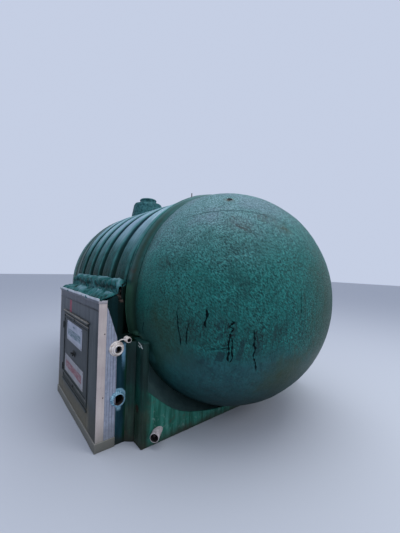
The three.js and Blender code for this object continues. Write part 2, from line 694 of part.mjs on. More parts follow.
// A hinge: the lower knuckle and its plate stay on the panel, the upper ones go with the leaf
const hingeX = PANEL_X - GAP - HINGE_PLATE - KNUCKLE + 1;
const hingeY = DOOR_FAR_Y + DOOR_GAP / 2;
function hingeHalf(side, z0, z1) {
  const profile = [[0, z0], [KNUCKLE, z0], [KNUCKLE, z1], [0, z1]];
  const knuckle = turnedUpright(profile, hingeX, hingeY, 12);
  const between = (x0, x1, near, far) => {
    const [y0, y1] = [hingeY + side * near, hingeY + side * far].sort((a, b) => a - b);
    return block(x0, x1, y0, y1, z0, z1);
  };
  const plate = between(trimOut - HINGE_PLATE, trimOut, DOOR_GAP / 2 + 1, HINGE_REACH);
  const arm = between(hingeX, trimOut - 1, 0, HINGE_ARM);
  return knuckle.add(arm).add(plate);
}

for (const [name, z] of Object.entries(HINGE_HEIGHTS)) {
  put(house, `${name}_hinge_post`, hingeHalf(1, z - HINGE_HALF, z - GAP / 2), darkIron);
  put(door, `${name}_hinge_leaf`, hingeHalf(-1, z + GAP / 2, z + HINGE_HALF), darkIron);
}

// The object reaches from the door handle to the tank's lip, and from one dome's nose to the other's
const centreX = (trimOut - HANDLE_REACH + LIP_RADIUS) / 2;
const centreY = BARREL_LENGTH / 2;
const whole = new THREE.Group();
whole.add(model);
whole.position.set(-centreX, -centreY, 0);

export default whole;
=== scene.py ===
# %% [markdown]
# # Flare knockout drum
# A horizontal tank of glass fibre with two domed ends and a ribbed barrel lies in a moulded
# base. A small valve house of sheet metal stands against its left side. The imported CAD model
# is the frame: it says where everything is. This notebook gives the tank its smooth, lumpy,
# weathered skins and adds the small pieces, such as rivets, rails and runs of resin.
#
# The first cell loads the frame.

# %% Frame
import math

import bmesh
import bpy
import numpy as np
from mathutils import Matrix, Vector


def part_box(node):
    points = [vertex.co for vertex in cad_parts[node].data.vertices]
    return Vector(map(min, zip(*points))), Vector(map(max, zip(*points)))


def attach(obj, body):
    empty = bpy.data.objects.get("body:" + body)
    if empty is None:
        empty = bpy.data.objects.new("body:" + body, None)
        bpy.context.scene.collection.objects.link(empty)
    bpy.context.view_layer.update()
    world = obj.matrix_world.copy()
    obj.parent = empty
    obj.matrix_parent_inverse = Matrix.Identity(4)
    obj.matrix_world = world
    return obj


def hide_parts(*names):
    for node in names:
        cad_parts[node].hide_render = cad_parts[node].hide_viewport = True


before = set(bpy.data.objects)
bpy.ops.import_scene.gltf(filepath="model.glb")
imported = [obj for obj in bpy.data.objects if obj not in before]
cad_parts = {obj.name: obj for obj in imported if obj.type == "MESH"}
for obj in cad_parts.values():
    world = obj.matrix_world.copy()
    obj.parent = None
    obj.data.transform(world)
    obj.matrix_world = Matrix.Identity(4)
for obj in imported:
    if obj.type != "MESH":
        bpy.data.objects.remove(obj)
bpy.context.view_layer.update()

# %% [markdown]
# Most of the shapes are worked out from the tank: its axis, the radius of its domes and how
# far they bulge. The boxes of the CAD nodes give all of these, so nothing is measured twice.

# %% The tank's main sizes
dome_low, dome_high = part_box("front_dome")
AXIS_X = (dome_low.x + dome_high.x) / 2
AXIS_Z = (dome_low.z + dome_high.z) / 2
DOME_RADIUS = (dome_high.z - dome_low.z) / 2
DOME_DEPTH = dome_high.y - dome_low.y
FRONT_Y = dome_high.y
REAR_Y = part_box("rear_dome")[0].y
SHELL = 0.012
print(f"axis at x {AXIS_X:.3f}, z {AXIS_Z:.3f}; dome radius {DOME_RADIUS:.3f}, depth {DOME_DEPTH:.3f}")

# %% [markdown]
# The camera stands where the photographer stood: at eye level, in front of the tank's near
# left corner, held almost level and turned a little clockwise. Its three directions are
# worked out from the angles, and they are the columns of its rotation.

# %% Camera
CAMERA_PLACE = (-2.2068, -3.474, 1.644)
CAMERA_TURN = math.radians(39.178)
CAMERA_PITCH = math.radians(0.187)
CAMERA_ROLL = math.radians(1.758)
FOCAL_PIXELS = 264.526
PHOTO_HEIGHT = 533


def shown(name, data):
    """An object of the scene that shows the given data."""
    made = bpy.data.objects.new(name, data)
    bpy.context.scene.collection.objects.link(made)
    return made


def camera_directions(turn, pitch, roll):
    """The camera's right, up and forward: forward from turn and pitch, then the others rolled about it."""
    forward = Vector((math.sin(turn) * math.cos(pitch), math.cos(turn) * math.cos(pitch), math.sin(pitch)))
    right = Vector((math.cos(turn), -math.sin(turn), 0))
    up = right.cross(forward)
    tilted_right = right * math.cos(roll) + up * math.sin(roll)
    return tilted_right, tilted_right.cross(forward), forward


right, up, forward = camera_directions(CAMERA_TURN, CAMERA_PITCH, CAMERA_ROLL)
camera_data = bpy.data.cameras.new("camera")
camera_data.sensor_width = 36
camera_data.lens = FOCAL_PIXELS * camera_data.sensor_width / PHOTO_HEIGHT
camera = shown("camera", camera_data)
camera.matrix_world = Matrix.Translation(CAMERA_PLACE) @ Matrix((right, up, -forward)).transposed().to_4x4()
bpy.context.scene.camera = camera
print(f"camera lens {camera_data.lens:.2f} mm")

# %% [markdown]
# The photograph was taken under an even winter sky. A pale floor, a bluish sky all round and
# two large soft lamps give the same soft light from above.

# %% Light and floor
SKY_COLOUR = (0.62, 0.69, 0.86, 1)
SKY_STRENGTH = 0.90

world = bpy.data.worlds.new("sky")
world.use_nodes = True
background = world.node_tree.nodes["Background"].inputs
background["Color"].default_value = SKY_COLOUR
background["Strength"].default_value = SKY_STRENGTH
bpy.context.scene.world = world
bpy.context.scene.view_settings.view_transform = "Standard"


def soft_lamp(name, place, aim, size, watts, colour):
    """A square lamp of the given width, turned from its place towards a point."""
    data = bpy.data.lights.new(name, "AREA")
    data.size, data.energy, data.color = size, watts, colour
    turn = (Vector(aim) - Vector(place)).to_track_quat("-Z", "Y").to_matrix().to_4x4()
    shown(name, data).matrix_world = Matrix.Translation(place) @ turn


soft_lamp("overhead", (0.8, -2.0, 8.5), (0, -0.3, 0), 7, 430, (0.93, 0.96, 1.0))
soft_lamp("front_right", (3.0, -8.0, 4.5), (0, -1.2, 1.1), 4, 120, (1.0, 0.98, 0.95))

FLOOR_HALF = 40
floor_mesh = bpy.data.meshes.new("floor")
floor_corners = [(x * FLOOR_HALF, y * FLOOR_HALF, -0.001) for x, y in [(-1, -1), (1, -1), (1, 1), (-1, 1)]]
floor_mesh.from_pydata(floor_corners, [], [(0, 1, 2, 3)])
floor = shown("floor", floor_mesh)
floor_paint = bpy.data.materials.new("floor_paint")
floor_paint.use_nodes = True
floor_surface = floor_paint.node_tree.nodes["Principled BSDF"].inputs
floor_surface["Base Color"].default_value = (0.50, 0.52, 0.56, 1)
floor_surface["Roughness"].default_value = 0.9
floor_mesh.materials.append(floor_paint)
print("floor and", len(bpy.data.lights), "lamps made")

# %% [markdown]
# ## Shader maths as plain expressions
# A weathered finish mixes many masks: height, noise, distance from a drip. Written node by
# node that is hard to read. Here a Wire wraps a socket, and +, -, * and / on it add the Math
# node for the sum, so a mask reads as a formula. Any other node comes from its node method.


# %% Wires
class Wire:
    """A node's output that can stand in a sum. Each operator adds the Math node that it names."""

    def __init__(self, tree, socket=None):
        self.tree = tree
        self.socket = socket

    def node(self, kind, sockets, out=0, **settings):
        """Adds a node: its settings first, then each socket's value or link."""
        made = self.tree.nodes.new(kind)
        for name, value in settings.items():
            setattr(made, name, value)
        for name, value in sockets.items():
            if isinstance(value, Wire):
                self.tree.links.new(value.socket, made.inputs[name])
            else:
                made.inputs[name].default_value = value
        return Wire(self.tree, made.outputs[out] if made.outputs else None)

    def sum_of(self, operation, first, second):
        return self.node("ShaderNodeMath", {0: first, 1: second}, operation=operation)

    def __add__(self, other):
        return self.sum_of("ADD", self, other)

    def __radd__(self, other):
        return self.sum_of("ADD", other, self)

    def __sub__(self, other):
        return self.sum_of("SUBTRACT", self, other)

    def __rsub__(self, other):
        return self.sum_of("SUBTRACT", other, self)

    def __mul__(self, other):
        return self.sum_of("MULTIPLY", self, other)

    def __truediv__(self, other):
        return self.sum_of("DIVIDE", self, other)

    def __pow__(self, other):
        return self.sum_of("POWER", self, other)

    def __abs__(self):
        return self.sum_of("ABSOLUTE", self, 0.0)

    def atleast(self, other):
        return self.sum_of("MAXIMUM", self, other)

    def rise(self, low, high):
        """0 below low, 1 above high and a smooth rise between. With low above high it falls instead."""
        ends = {1: low, 2: high} if low < high else {1: high, 2: low, 3: 1.0, 4: 0.0}
        return self.node("ShaderNodeMapRange", {0: self, **ends}, interpolation_type="SMOOTHSTEP")

    def axes(self):
        """The three parts of a vector."""
        split = self.node("ShaderNodeSeparateXYZ", {0: self})
        return [Wire(self.tree, output) for output in split.socket.node.outputs]

    def scaled(self, scale, turn=(0, 0, 0)):
        """A point with its axes scaled and turned, to stretch the pattern that reads it."""
        return self.node("ShaderNodeMapping", {"Vector": self, "Scale": scale, "Rotation": turn})

    def turned(self, x=0.0, y=0.0, z=0.0):
        """A point turned by these angles."""
        return self.scaled((1, 1, 1), (x, y, z))

    def shifted(self, distance):
        """A point moved, so that a second pattern on it doesn't repeat the first."""
        return self.node("ShaderNodeMapping", {"Vector": self, "Location": (distance,) * 3})

    def noise(self, scale, detail=3, roughness=0.55, distortion=0.0):
        sockets = {"Scale": scale, "Detail": detail, "Roughness": roughness, "Distortion": distortion}
        return self.node("ShaderNodeTexNoise", {"Vector": self, **sockets})

    def cell_tones(self, scale):
        """A random tone for each of many cells."""
        return self.node("ShaderNodeTexVoronoi", {"Vector": self, "Scale": scale}, out=1).axes()[0]

    def stored(self, name):
        """A number that the mesh stores at each point."""
        return self.node("ShaderNodeAttribute", {}, out=2, attribute_name=name)


def blend(mask, below, above):
    """Two tones, each a Wire or three numbers, mixed by a mask: below where it is 0, above where it is 1."""
    below, above = (tone if isinstance(tone, Wire) else (*tone, 1.0) for tone in (below, above))
    sockets = {0: mask, 6: below, 7: above}
    return mask.node("ShaderNodeMix", sockets, out=2, data_type="RGBA", clamp_factor=True)


class Paint:
    """A material whose colour is laid on in coats, each of them where its own mask is 1."""

    def __init__(self, name):
        self.material = bpy.data.materials.new(name)
        self.material.use_nodes = True
        self.material.node_tree.nodes.clear()
        self.wire = Wire(self.material.node_tree)

    def base(self, mask, below, above):
        """The first coat: two tones mixed by a mask."""
        self.colour = blend(mask, below, above)

    def __call__(self, mask, tone):
        """One more coat over what is there."""
        self.colour = blend(mask, self.colour, tone)

    def dress(self, roughness, height, bump, depth, specular=0.5, metallic=0.0):
        """Puts colour, roughness and relief on a surface. Height is in units of the depth, in metres."""
        relief = self.wire.node("ShaderNodeBump", {"Height": height, "Strength": bump, "Distance": depth})
        surface = self.wire.node("ShaderNodeBsdfPrincipled", {
            "Base Color": self.colour, "Roughness": roughness, "Normal": relief,
            "Specular IOR Level": specular, "Metallic": metallic})
        self.wire.node("ShaderNodeOutputMaterial", {"Surface": surface})
        return self.material


# How strongly a finish mirrors, from satin to matt.
SATIN, DULL, DAMP, MATT = 0.22, 0.08, 0.07, 0.06


def new_finish(name):
    """A new paint and its Object coordinates, which every pattern here reads."""
    paint = Paint(name)
    return paint, paint.wire.node("ShaderNodeTexCoord", {}, out=3)


print("shader helpers ready")

# %% [markdown]
# ## Shapes as arrays
# Every new shape is a grid of points worked out in one go with numpy, either a function of
# two numbers or a profile carried along a path. The next helpers turn grids into faces, join
# several grids to one mesh, merge the doubles at seams and poles, and turn the faces out.


# %% Grids and meshes
X, Y, Z = np.eye(3)
LUMP_WAVES = 22
GAP = 0.0004


def corners(node):
    """The low and the high corner of a CAD node's box, as arrays."""
    return (np.array(corner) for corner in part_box(node))


def full_turn(steps):
    """The angles of a whole turn in equal steps."""
    return np.linspace(0, 2 * math.pi, steps, endpoint=False)


def unit(vectors):
    """The same directions with length 1."""
    return vectors / np.linalg.norm(vectors, axis=-1, keepdims=True)


def grid_faces(rows, columns, close_rows=False, close_columns=False):
    """The four-sided faces of a grid of points. A closed direction joins its last line to its first."""
    i, j = np.meshgrid(np.arange(rows if close_rows else rows - 1),
                       np.arange(columns if close_columns else columns - 1), indexing="ij")
    next_i, next_j = (i + 1) % rows, (j + 1) % columns
    quads = [i * columns + j, i * columns + next_j, next_i * columns + next_j, next_i * columns + j]
    return np.stack(quads, -1).reshape(-1, 4)


def closed_grid(points):
    """A grid that closes on itself both ways, such as a shell's profile turned about an axis."""
    return points, grid_faces(*points.shape[:2], True, True)


def tube_grid(points):
    """A grid that closes round a line, with its first and last rows as its ends."""
    return points, grid_faces(*points.shape[:2], False, True)


def piece(name, parts, material, body="drum", stands_for=(), sharp=40, relief=None):
    """One object from several (points, faces), closed and facing outwards, riding on a body of the frame."""
    offsets = np.cumsum([0] + [points.size // 3 for points, faces in parts])
    points = np.concatenate([points.reshape(-1, 3) for points, faces in parts])
    faces = [face for (_, grid), offset in zip(parts, offsets) for face in (grid + offset).tolist()]
    mesh = bpy.data.meshes.new(name)
    mesh.from_pydata(points.tolist(), [], faces)
    if relief is not None:
        stored = mesh.attributes.new("relief", "FLOAT", "POINT").data
        stored.foreach_set("value", relief.astype(np.float32).ravel())
    working = bmesh.new()
    working.from_mesh(mesh)
    bmesh.ops.remove_doubles(working, verts=working.verts, dist=1e-6)
    bmesh.ops.recalc_face_normals(working, faces=working.faces)
    working.to_mesh(mesh)
    working.free()
    settle(name, mesh, material, body, stands_for, sharp)


def settle(name, mesh, material, body, stands_for, sharp):
    """Gives a mesh its shading, material and body, and hides the CAD nodes that it stands for."""
    mesh.shade_smooth()
    mesh.set_sharp_from_angle(angle=math.radians(sharp))
    mesh.materials.append(material)
    made = shown(name, mesh)
    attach(made, body)
    if stands_for:
        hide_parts(*stands_for)
    print(name, sum(len(face.vertices) - 2 for face in mesh.polygons), "triangles")


def lumps(points, length, seed):
    """Soft lumps from about -1 to 1: a sum of plane waves in random directions, each about length long."""
    chance = np.random.default_rng(seed)
    directions = unit(chance.normal(size=(LUMP_WAVES, 3)))
    directions *= 2 * math.pi / length * chance.uniform(0.7, 1.4, (LUMP_WAVES, 1))
    phases = chance.uniform(0, 2 * math.pi, LUMP_WAVES)
    return np.sin(points @ directions.T + phases).sum(-1) * 1.2 / math.sqrt(LUMP_WAVES)


def spun(profile, origin, axis, start, side, around):
    """A profile of (distance along an axis, radius) turned about it, and the outward direction at each angle.

    Outward is start times the cosine of the angle plus side times its sine.
    """
    angle = full_turn(around)[:, None]
    outward = np.cos(angle) * start + np.sin(angle) * side
    profile = np.asarray(profile, float)[:, None]
    return origin + profile[..., :1] * axis + profile[..., 1:] * outward, outward


def turned(profile, around, pressed):
    """A profile of (y, radius) turned about the tank's axis, each point pressed in along the radius."""
    points, outward = spun(profile, (AXIS_X, 0, AXIS_Z), Y, Z, X, around)
    return closed_grid(points - pressed(points)[..., None] * outward)


def upright_turn(profile, centre, around, press=0.0, seed=0):
    """A profile of (radius, z) turned about an upright line, with its rim pressed a little unevenly."""
    profile = np.asarray(profile)
    points, outward = spun(profile[:, ::-1], (*centre, 0), Z, X, Y, around)
    shift = press * (lumps(points, 0.10, seed) - 1) * np.minimum(1, profile[:, :1] / 0.05)
    return tube_grid(points + shift[..., None] * outward)


def smooth_line(points, steps):
    """A smooth curve through a few points: each span is blended by its neighbours' slopes (Catmull-Rom)."""
    points = np.asarray(points, float)
    padded = np.vstack([2 * points[0] - points[1], points, 2 * points[-1] - points[-2]])
    t = np.linspace(0, 1, steps, endpoint=False)[:, None]
    spans = [b + 0.5 * ((c - a) * t + (2 * a - 5 * b + 4 * c - d) * t**2 + (3 * b - a - 3 * c + d) * t**3)
             for a, b, c, d in zip(padded, padded[1:], padded[2:], padded[3:])]
    return np.vstack(spans + [points[-1:]])


def carried(path, section, upright=Z, taper=None):
    """A section of (across, up) carried along a path, square to it at each point, with its ends closed."""
    path, section = np.asarray(path, float), np.asarray(section, float)
    along = unit(np.gradient(path, axis=0))
    across = unit(np.cross(along, upright))
    over = np.cross(across, along)
    size = np.ones(len(path)) if taper is None else taper
    spread = section[:, :1] * across[:, None] + section[:, 1:] * over[:, None]
    ends = [np.repeat(path[end][None, None], len(section), 1) for end in (0, -1)]
    return tube_grid(np.concatenate([ends[0], path[:, None] + size[:, None, None] * spread, ends[1]]))


def round_section(radius, sides):
    """A circle of points."""
    angle = full_turn(sides)
    return np.stack([radius * np.cos(angle), radius * np.sin(angle)], -1)


def soft_box_section(width, height, radius, steps=3):
    """A rectangle with rounded corners, as points anticlockwise."""
    turn = np.linspace(0, math.pi / 2, steps + 1)
    corner = radius * np.stack([np.cos(turn), np.sin(turn)], -1)
    places = []
    for k, (sx, sy) in enumerate([(1, 1), (-1, 1), (-1, -1), (1, -1)]):
        cos, sin = math.cos(k * math.pi / 2), math.sin(k * math.pi / 2)
        turned_corner = corner @ np.array([[cos, sin], [-sin, cos]])
        places.append(turned_corner + [sx * (width / 2 - radius), sy * (height / 2 - radius)])
    return np.vstack(places)


def bar(low, high, radius):
    """A bar between two corners, with its four long edges rounded and small chamfers at its ends."""
    low, high = np.minimum(low, high), np.maximum(low, high)
    size, middle = high - low, (low + high) / 2
    along = int(np.argmax(size))
    across, over = (axis for axis in range(3) if axis != along)
    thin = min(size[across], size[over])
    radius = min(radius, thin * 0.45)
    section = soft_box_section(size[across], size[over], radius)
    start, end, chamfer = low[along], high[along], radius * 0.6
    tip = 1 - 2 * chamfer / thin
    rows = [(start, 0), (start, tip), (start + chamfer, 1), (end - chamfer, 1), (end, tip), (end, 0)]
    points = np.zeros((len(rows), len(section), 3))
    for row, (place, scale) in zip(points, rows):
        row[:, along] = place
        row[:, [across, over]] = middle[[across, over]] + section * scale
    return tube_grid(points)


STUD_PROFILE = np.array([(1, 0), (0.82, 0.6), (0.3, 0.95), (-0.3, 1), (-0.3, 0)])
# Each kind of screw or rivet by its head's radius and height and its number of sides.
RIVET, SIDE_RIVET = (0.006, 0.0028, 10), (0.005, 0.0024, 10)
SIGN_SCREW, HANDLE_SCREW = (0.0055, 0.0022, 10), (0.004, 0.002, 8)
CATCH_SCREW, HINGE_SCREW = (0.0038, 0.002, 8), (0.0042, 0.0018, 8)


def studs(places, facing, radius, height, sides):
    """Domed heads of screws or rivets: one small turned shape, with each place added to it."""
    across = np.cross(facing, Z)
    profile = STUD_PROFILE * (height, radius)
    head, _ = spun(profile, (0, 0, 0), facing, across, np.cross(facing, across), sides)
    points, one = tube_grid(head)
    faces = one + (np.arange(len(places)) * (points.size // 3))[:, None, None]
    return np.array(places)[:, None, None] + points, faces.reshape(-1, 4)


def thick_sheet(points, thickness):
    """A closed sheet: a grid of points, the same grid moved back along its normals, and a rim between."""
    normal = unit(np.cross(np.gradient(points, axis=0), np.gradient(points, axis=1)))
    rows, columns = points.shape[:2]
    count = rows * columns
    edge = np.concatenate([
        np.arange(columns - 1), np.arange(columns - 1, count - 1, columns),
        np.arange(count - 1, count - columns, -1), np.arange(count - columns, 0, -columns),
    ])
    following = np.roll(edge, -1)
    rim = np.stack([edge, following, following + count, edge + count], -1)
    front = grid_faces(rows, columns)
    both = np.stack([points, points - normal * thickness]).reshape(-1, 3)
    return both, np.concatenate([front, front + count, rim])


print("shape helpers ready")

# %% [markdown]
# ## The domes
# The ends of the tank are half ellipsoids of hand-laid glass fibre. Their gelcoat is teal,
# with the short strands of the glass showing through as a rough weave of light and dark
# dashes. The top is chalked pale by the weather, the lowest third is smoother and slate
# blue, and olive and brown stains have run down the sides. Every mask reads the height or
# the place on the dome, so the stains stay where they are on the real one.

# %% Masks that the finishes share
def near(point, centre, radii):
    """How far a point is from a centre, counted in radii: 1 on the edge of the ellipsoid."""
    x, y, z = (((axis - middle) / radius) ** 2 for axis, middle, radius in zip(point.axes(), centre, radii))
    return (x + y + z) ** 0.5


def off_axis(x, z, place):
    """How far a point is from a level axis along y, given by its (x, z)."""
    return ((x - place[0]) ** 2 + (z - place[1]) ** 2) ** 0.5


FACING = math.radians(39)


def strands(point, size, turn, stretch=0.22, depth=0.35):
    """Fibres lying one way: the points are turned to the front left, turned down and stretched to dashes."""
    flat = point.turned(z=FACING).turned(y=turn)
    return flat.scaled((size, size * depth, size * stretch)).noise(1, 2, 0.55, 0.12)


def patch(point, centre, radii, ragged):
    """A squarish patch seen from the front: the larger of the two distances, in radii, with a ragged edge."""
    x, y, z = point.axes()
    farther = abs((x - centre[0]) / radii[0]).atleast(abs((z - centre[1]) / radii[1]))
    return (farther + ragged).rise(1, 0.84) * y.rise(-1.45, -1.6)


def drips(point, fineness, length):
    """Streaks that run down: noise that changes quickly along the wall and slowly with height."""
    return point.scaled((fineness, fineness, 1 / length)).noise(1, 4, 0.6)


print("masks ready")

# %% Dome gelcoat
CREASE_NORMAL = (-0.547, -0.633, -0.548)
CREASE_OFFSET = 0.107
CREASE_STEP, CREASE_FROM = 0.004, 2.05
# Stains by tone, centre and radii; chipped patches and blotches end with their strength.
STAINS = [
    ("olive", (-1.00, -1.40, 1.00), (0.17, 0.5, 0.42)),
    ("dark", (-0.92, -1.55, 1.68), (0.14, 0.4, 0.08)),
    ("olive", (-0.02, -2.05, 0.68), (0.34, 0.5, 0.34)),
    ("olive", (0.46, -2.2, 1.25), (0.56, 0.5, 0.80)),
    ("brown", (-0.43, -1.86, 2.05), (0.11, 0.3, 0.14)),
    ("grey", (-0.14, -1.92, 2.13), (0.15, 0.3, 0.09)),
    ("rust", (-0.03, -2.04, 2.02), (0.12, 0.3, 0.10)),
    ("hole", (-0.30, -1.577, 2.33), (0.075, 0.075, 0.045)),
]
CHIPPED = [
    ((-0.865, -1.73, 1.11), (0.085, 0.3, 0.13), 0.92),
    ((-0.640, -1.97, 1.14), (0.050, 0.3, 0.09), 0.92),
    ((-0.440, -2.08, 1.06), (0.060, 0.3, 0.11), 0.92),
    ((-0.770, -1.88, 1.12), (0.190, 0.5, 0.16), 0.60),
    ((-0.400, -2.08, 1.12), (0.220, 0.5, 0.13), 0.42),
]
BLOTCHES = [
    ((-0.667, 0.905), (0.026, 0.050), 0.75),
    ((-0.548, 0.968), (0.021, 0.105), 0.75),
    ((-0.425, 0.985), (0.034, 0.070), 0.50),
    ((-0.713, 1.180), (0.023, 0.046), 0.50),
    ((-0.703, 1.080), (0.016, 0.032), 0.60),
    ((-0.585, 1.030), (0.014, 0.050), 0.40),
    ((-0.757, 0.850), (0.016, 0.026), 0.60),
]


def dome_finish():
    """Teal gelcoat over glass strands, chalked above, slate below, stained and chipped, with painted shade
    low down and on the sides and painted light by the post.
    """
    paint, point = new_finish("dome_gelcoat")
    x, y, z = point.axes()
    wander = point.noise(2.2, 3) - 0.5
    mottle = point.noise(9, 6, 0.68).rise(0.32, 0.68)
    broad = point.noise(1.3, 3).rise(0.35, 0.65)
    patchy = point.noise(4.5, 4, 0.6).rise(0.36, 0.62)

    slate = (z + wander * 0.26).rise(1.04, 0.8)
    rough_skin = 1 - slate * 0.90
    woven = strands(point, 150, math.radians(42), 0.26, 0.5)
    crossing = strands(point.shifted(3.1), 142, math.radians(24), 0.36, 0.5)
    chopped = strands(point.shifted(7.3), 150, math.radians(58), 0.46, 0.6)
    light = woven.rise(0.52, 0.6).atleast(crossing.rise(0.55, 0.62) * 0.75)
    dark = woven.rise(0.47, 0.4).atleast(chopped.rise(0.46, 0.4) * 0.8)
    pits = point.noise(70, 3, 0.7).rise(0.56, 0.64)

    paint.base(broad, (0.0006, 0.105, 0.094), (0.0014, 0.165, 0.144))
    paint(mottle * 0.5, (0.003, 0.215, 0.19))
    paint(light * rough_skin * (0.30 + patchy * 0.36), (0.04, 0.38, 0.34))
    paint(dark * rough_skin * (0.42 + patchy * 0.38), (0.0006, 0.012, 0.015))
    paint(pits * rough_skin * 0.30, (0.001, 0.022, 0.025))
    slate_tone = blend(mottle, (0.012, 0.062, 0.074), (0.018, 0.094, 0.104))
    paint(slate * 0.88, slate_tone)

    chalk = (z + wander * 0.5 - x * 0.14).rise(1.62, 2.46) * (0.62 + mottle * 0.3)
    chalk_tone = blend(light, (0.135, 0.28, 0.31), (0.33, 0.52, 0.56))
    paint(chalk * (1 - dark * 0.50 - pits * 0.2), chalk_tone)
    lilac = point.shifted(5.0).noise(2.3, 3).rise(0.44, 0.6) * (z - x * 0.35).rise(1.95, 2.35)
    paint(lilac * (0.34 - dark * 0.15), (0.225, 0.255, 0.35))

    streaks = drips(point, 26, 1.1).rise(0.45, 0.75) * z.rise(1.75, 1.25)
    paint(streaks * 0.58, (0.002, 0.03, 0.034))
    thin_streaks = drips(point.shifted(2.0), 64, 0.55).rise(0.5, 0.64) * z.rise(1.45, 1.1)
    paint(thin_streaks * 0.52, (0.003, 0.034, 0.037))
    light_streaks = drips(point.turned(x=0.3), 40, 0.8).rise(0.55, 0.7) * z.rise(1.5, 1.1)
    paint(light_streaks * 0.44, (0.02, 0.2, 0.18))
    clouds = point.shifted(9.0).noise(3.4, 5, 0.6).rise(0.5, 0.66) * (x + wander).rise(0.1, -0.5)
    paint(clouds * z.rise(2.15, 1.8) * 0.42, (0.001, 0.04, 0.04))

    ragged = drips(point, 14, 0.6) * 0.9 + point.noise(6, 4) * 0.5
    scratched = strands(point.shifted(11.0), 34, math.radians(48), 0.16).rise(0.53, 0.6)
    tones = {"olive": (0.026, 0.054, 0.02), "brown": (0.055, 0.05, 0.05), "grey": (0.06, 0.075, 0.07),
             "rust": (0.075, 0.072, 0.045), "hole": (0.15, 0.14, 0.115), "dark": (0.004, 0.036, 0.034)}
    details = {"olive": 0.58 + streaks * 0.30 + mottle * 0.12, "hole": 0.8 - dark * 0.3}
    for tone, centre, radii in STAINS:
        mask = (near(point, centre, radii) + ragged - 0.7).rise(1.05, 0.25)
        paint(mask * details.get(tone, 0.25 + scratched * 0.6), tones[tone])

    a, b, c = CREASE_NORMAL
    crease = abs(x * a + y * b + z * c - CREASE_OFFSET + wander * 0.01)
    paint(crease.rise(0.014, 0.003) * z.rise(2.02, 2.16) * 0.60, (0.02, 0.085, 0.09))

    veins = point.scaled((48, 48, 13)).noise(1, 4, 0.7, 1.2).rise(0.52, 0.57)
    chips = point.noise(40, 4, 0.72, 1.4).rise(0.53, 0.57).atleast(veins)
    for centre, radii, strength in CHIPPED:
        mask = (near(point, centre, radii) + (ragged - 0.7) * 0.6).rise(1, 0.7)
        paint(mask * (1 - chips) * strength * 0.34, (0.008, 0.16, 0.146))
        paint(mask * chips * strength, (0.0008, 0.01, 0.014))
    frayed = (point.noise(26, 4, 0.7) - 0.5) * 0.7
    for centre, radii, strength in BLOTCHES:
        paint(patch(point, centre, radii, frayed) * strength, (0.003, 0.034, 0.042))

    # Olive tint and painted light: the low left rim is lightened where it lies in shade.
    rim = (x + wander * 0.25).rise(-0.72, -1.02) * (z + wander * 0.5).rise(1.3, 0.95)
    paint(rim * 0.60, (0.028, 0.085, 0.076))
    # Olive tint and painted shade: the dome's left side is darkened.
    olive_left_shade = (x + wander * 0.3).rise(-0.7, -1) * (z + wander * 0.5).rise(1.75, 1.4)
    paint(olive_left_shade * 0.30, (0.02, 0.062, 0.036))
    # Painted shade: the right side of the dome is darkened.
    far_side_shade = (x + wander * 0.3).rise(-0.15, 0.45)
    paint(far_side_shade * 0.34, (0.003, 0.052, 0.036))
    # Painted shade with an olive tint: the low right of the dome is darkened.
    low_right_shade = (x + wander * 0.3).rise(-0.45, -0.05) * (z + wander * 0.3).rise(0.95, 0.7)
    paint(low_right_shade * 0.45, (0.01, 0.03, 0.018))
    # Painted shade: the dome darkens towards the bottom.
    grime_and_shade = (z + wander * 0.2).rise(0.78, 0.22)
    paint(grime_and_shade * 0.74, (0.003, 0.014, 0.015))
    from_middle = abs(y) * -1 + wander * 0.06
    beside_band = from_middle.rise(FRONT_Y - 0.1, FRONT_Y - 0.005) * (z + wander).rise(2.2, 1.8)
    paint(beside_band * 0.5, (0.018, 0.056, 0.04))
    # Painted light: the dome is lightened beside the post, where it lies in shade.
    by_post_light = near(point, (-1.04, -1.22, 0.96), (0.28, 0.30, 0.26)).rise(1, 0.3)
    paint(by_post_light * 0.7, (0.02, 0.096, 0.084))
    paint(dark * rough_skin * 0.34, (0.001, 0.016, 0.016))
    paint(light * rough_skin * 0.12, (0.04, 0.26, 0.23))
    # Painted light: lightened behind the post, where the hollow shades it.
    behind_post_light = near(point, (-0.945, -1.195, 0.77), (0.075, 0.12, 0.13)).rise(1, 0.4)
    paint(behind_post_light * 0.85, (0.046, 0.17, 0.165))
    # Painted light at the corner over the post's top, where it lies in shade.
    corner = near(point, (-1.04, -1.10, 0.950), (0.09, 0.15, 0.060)).rise(1, 0.4)
    paint(corner * 0.90, (0.1, 0.23, 0.18))

    fine = point.noise(140, 3, 0.7)
    height = (light * 0.9 - dark * 0.9 - pits * 0.4 + mottle * 0.5) * rough_skin + fine * 0.3 + streaks * 0.15
    roughness = 0.42 + chalk * 0.30 + pits * 0.12 + grime_and_shade * 0.25
    return paint.dress(roughness, height, 0.75, 0.006, SATIN)


dome_gelcoat = dome_finish()


def pressed_dome(points):
    """How far the dome is pressed in: broad unevenness, small lumps, and one shallow step behind a crease."""
    crease = points @ np.array(CREASE_NORMAL) - CREASE_OFFSET
    top = 1 / (1 + np.exp(-(points[..., 2] - CREASE_FROM) / 0.06))
    step = CREASE_STEP / (1 + np.exp(-crease / 0.012)) * top
    broad = 0.0022 * (1 + lumps(points, 0.62, 1))
    small = 0.0007 * (1 + lumps(points, 0.085, 2))
    return broad + small + step


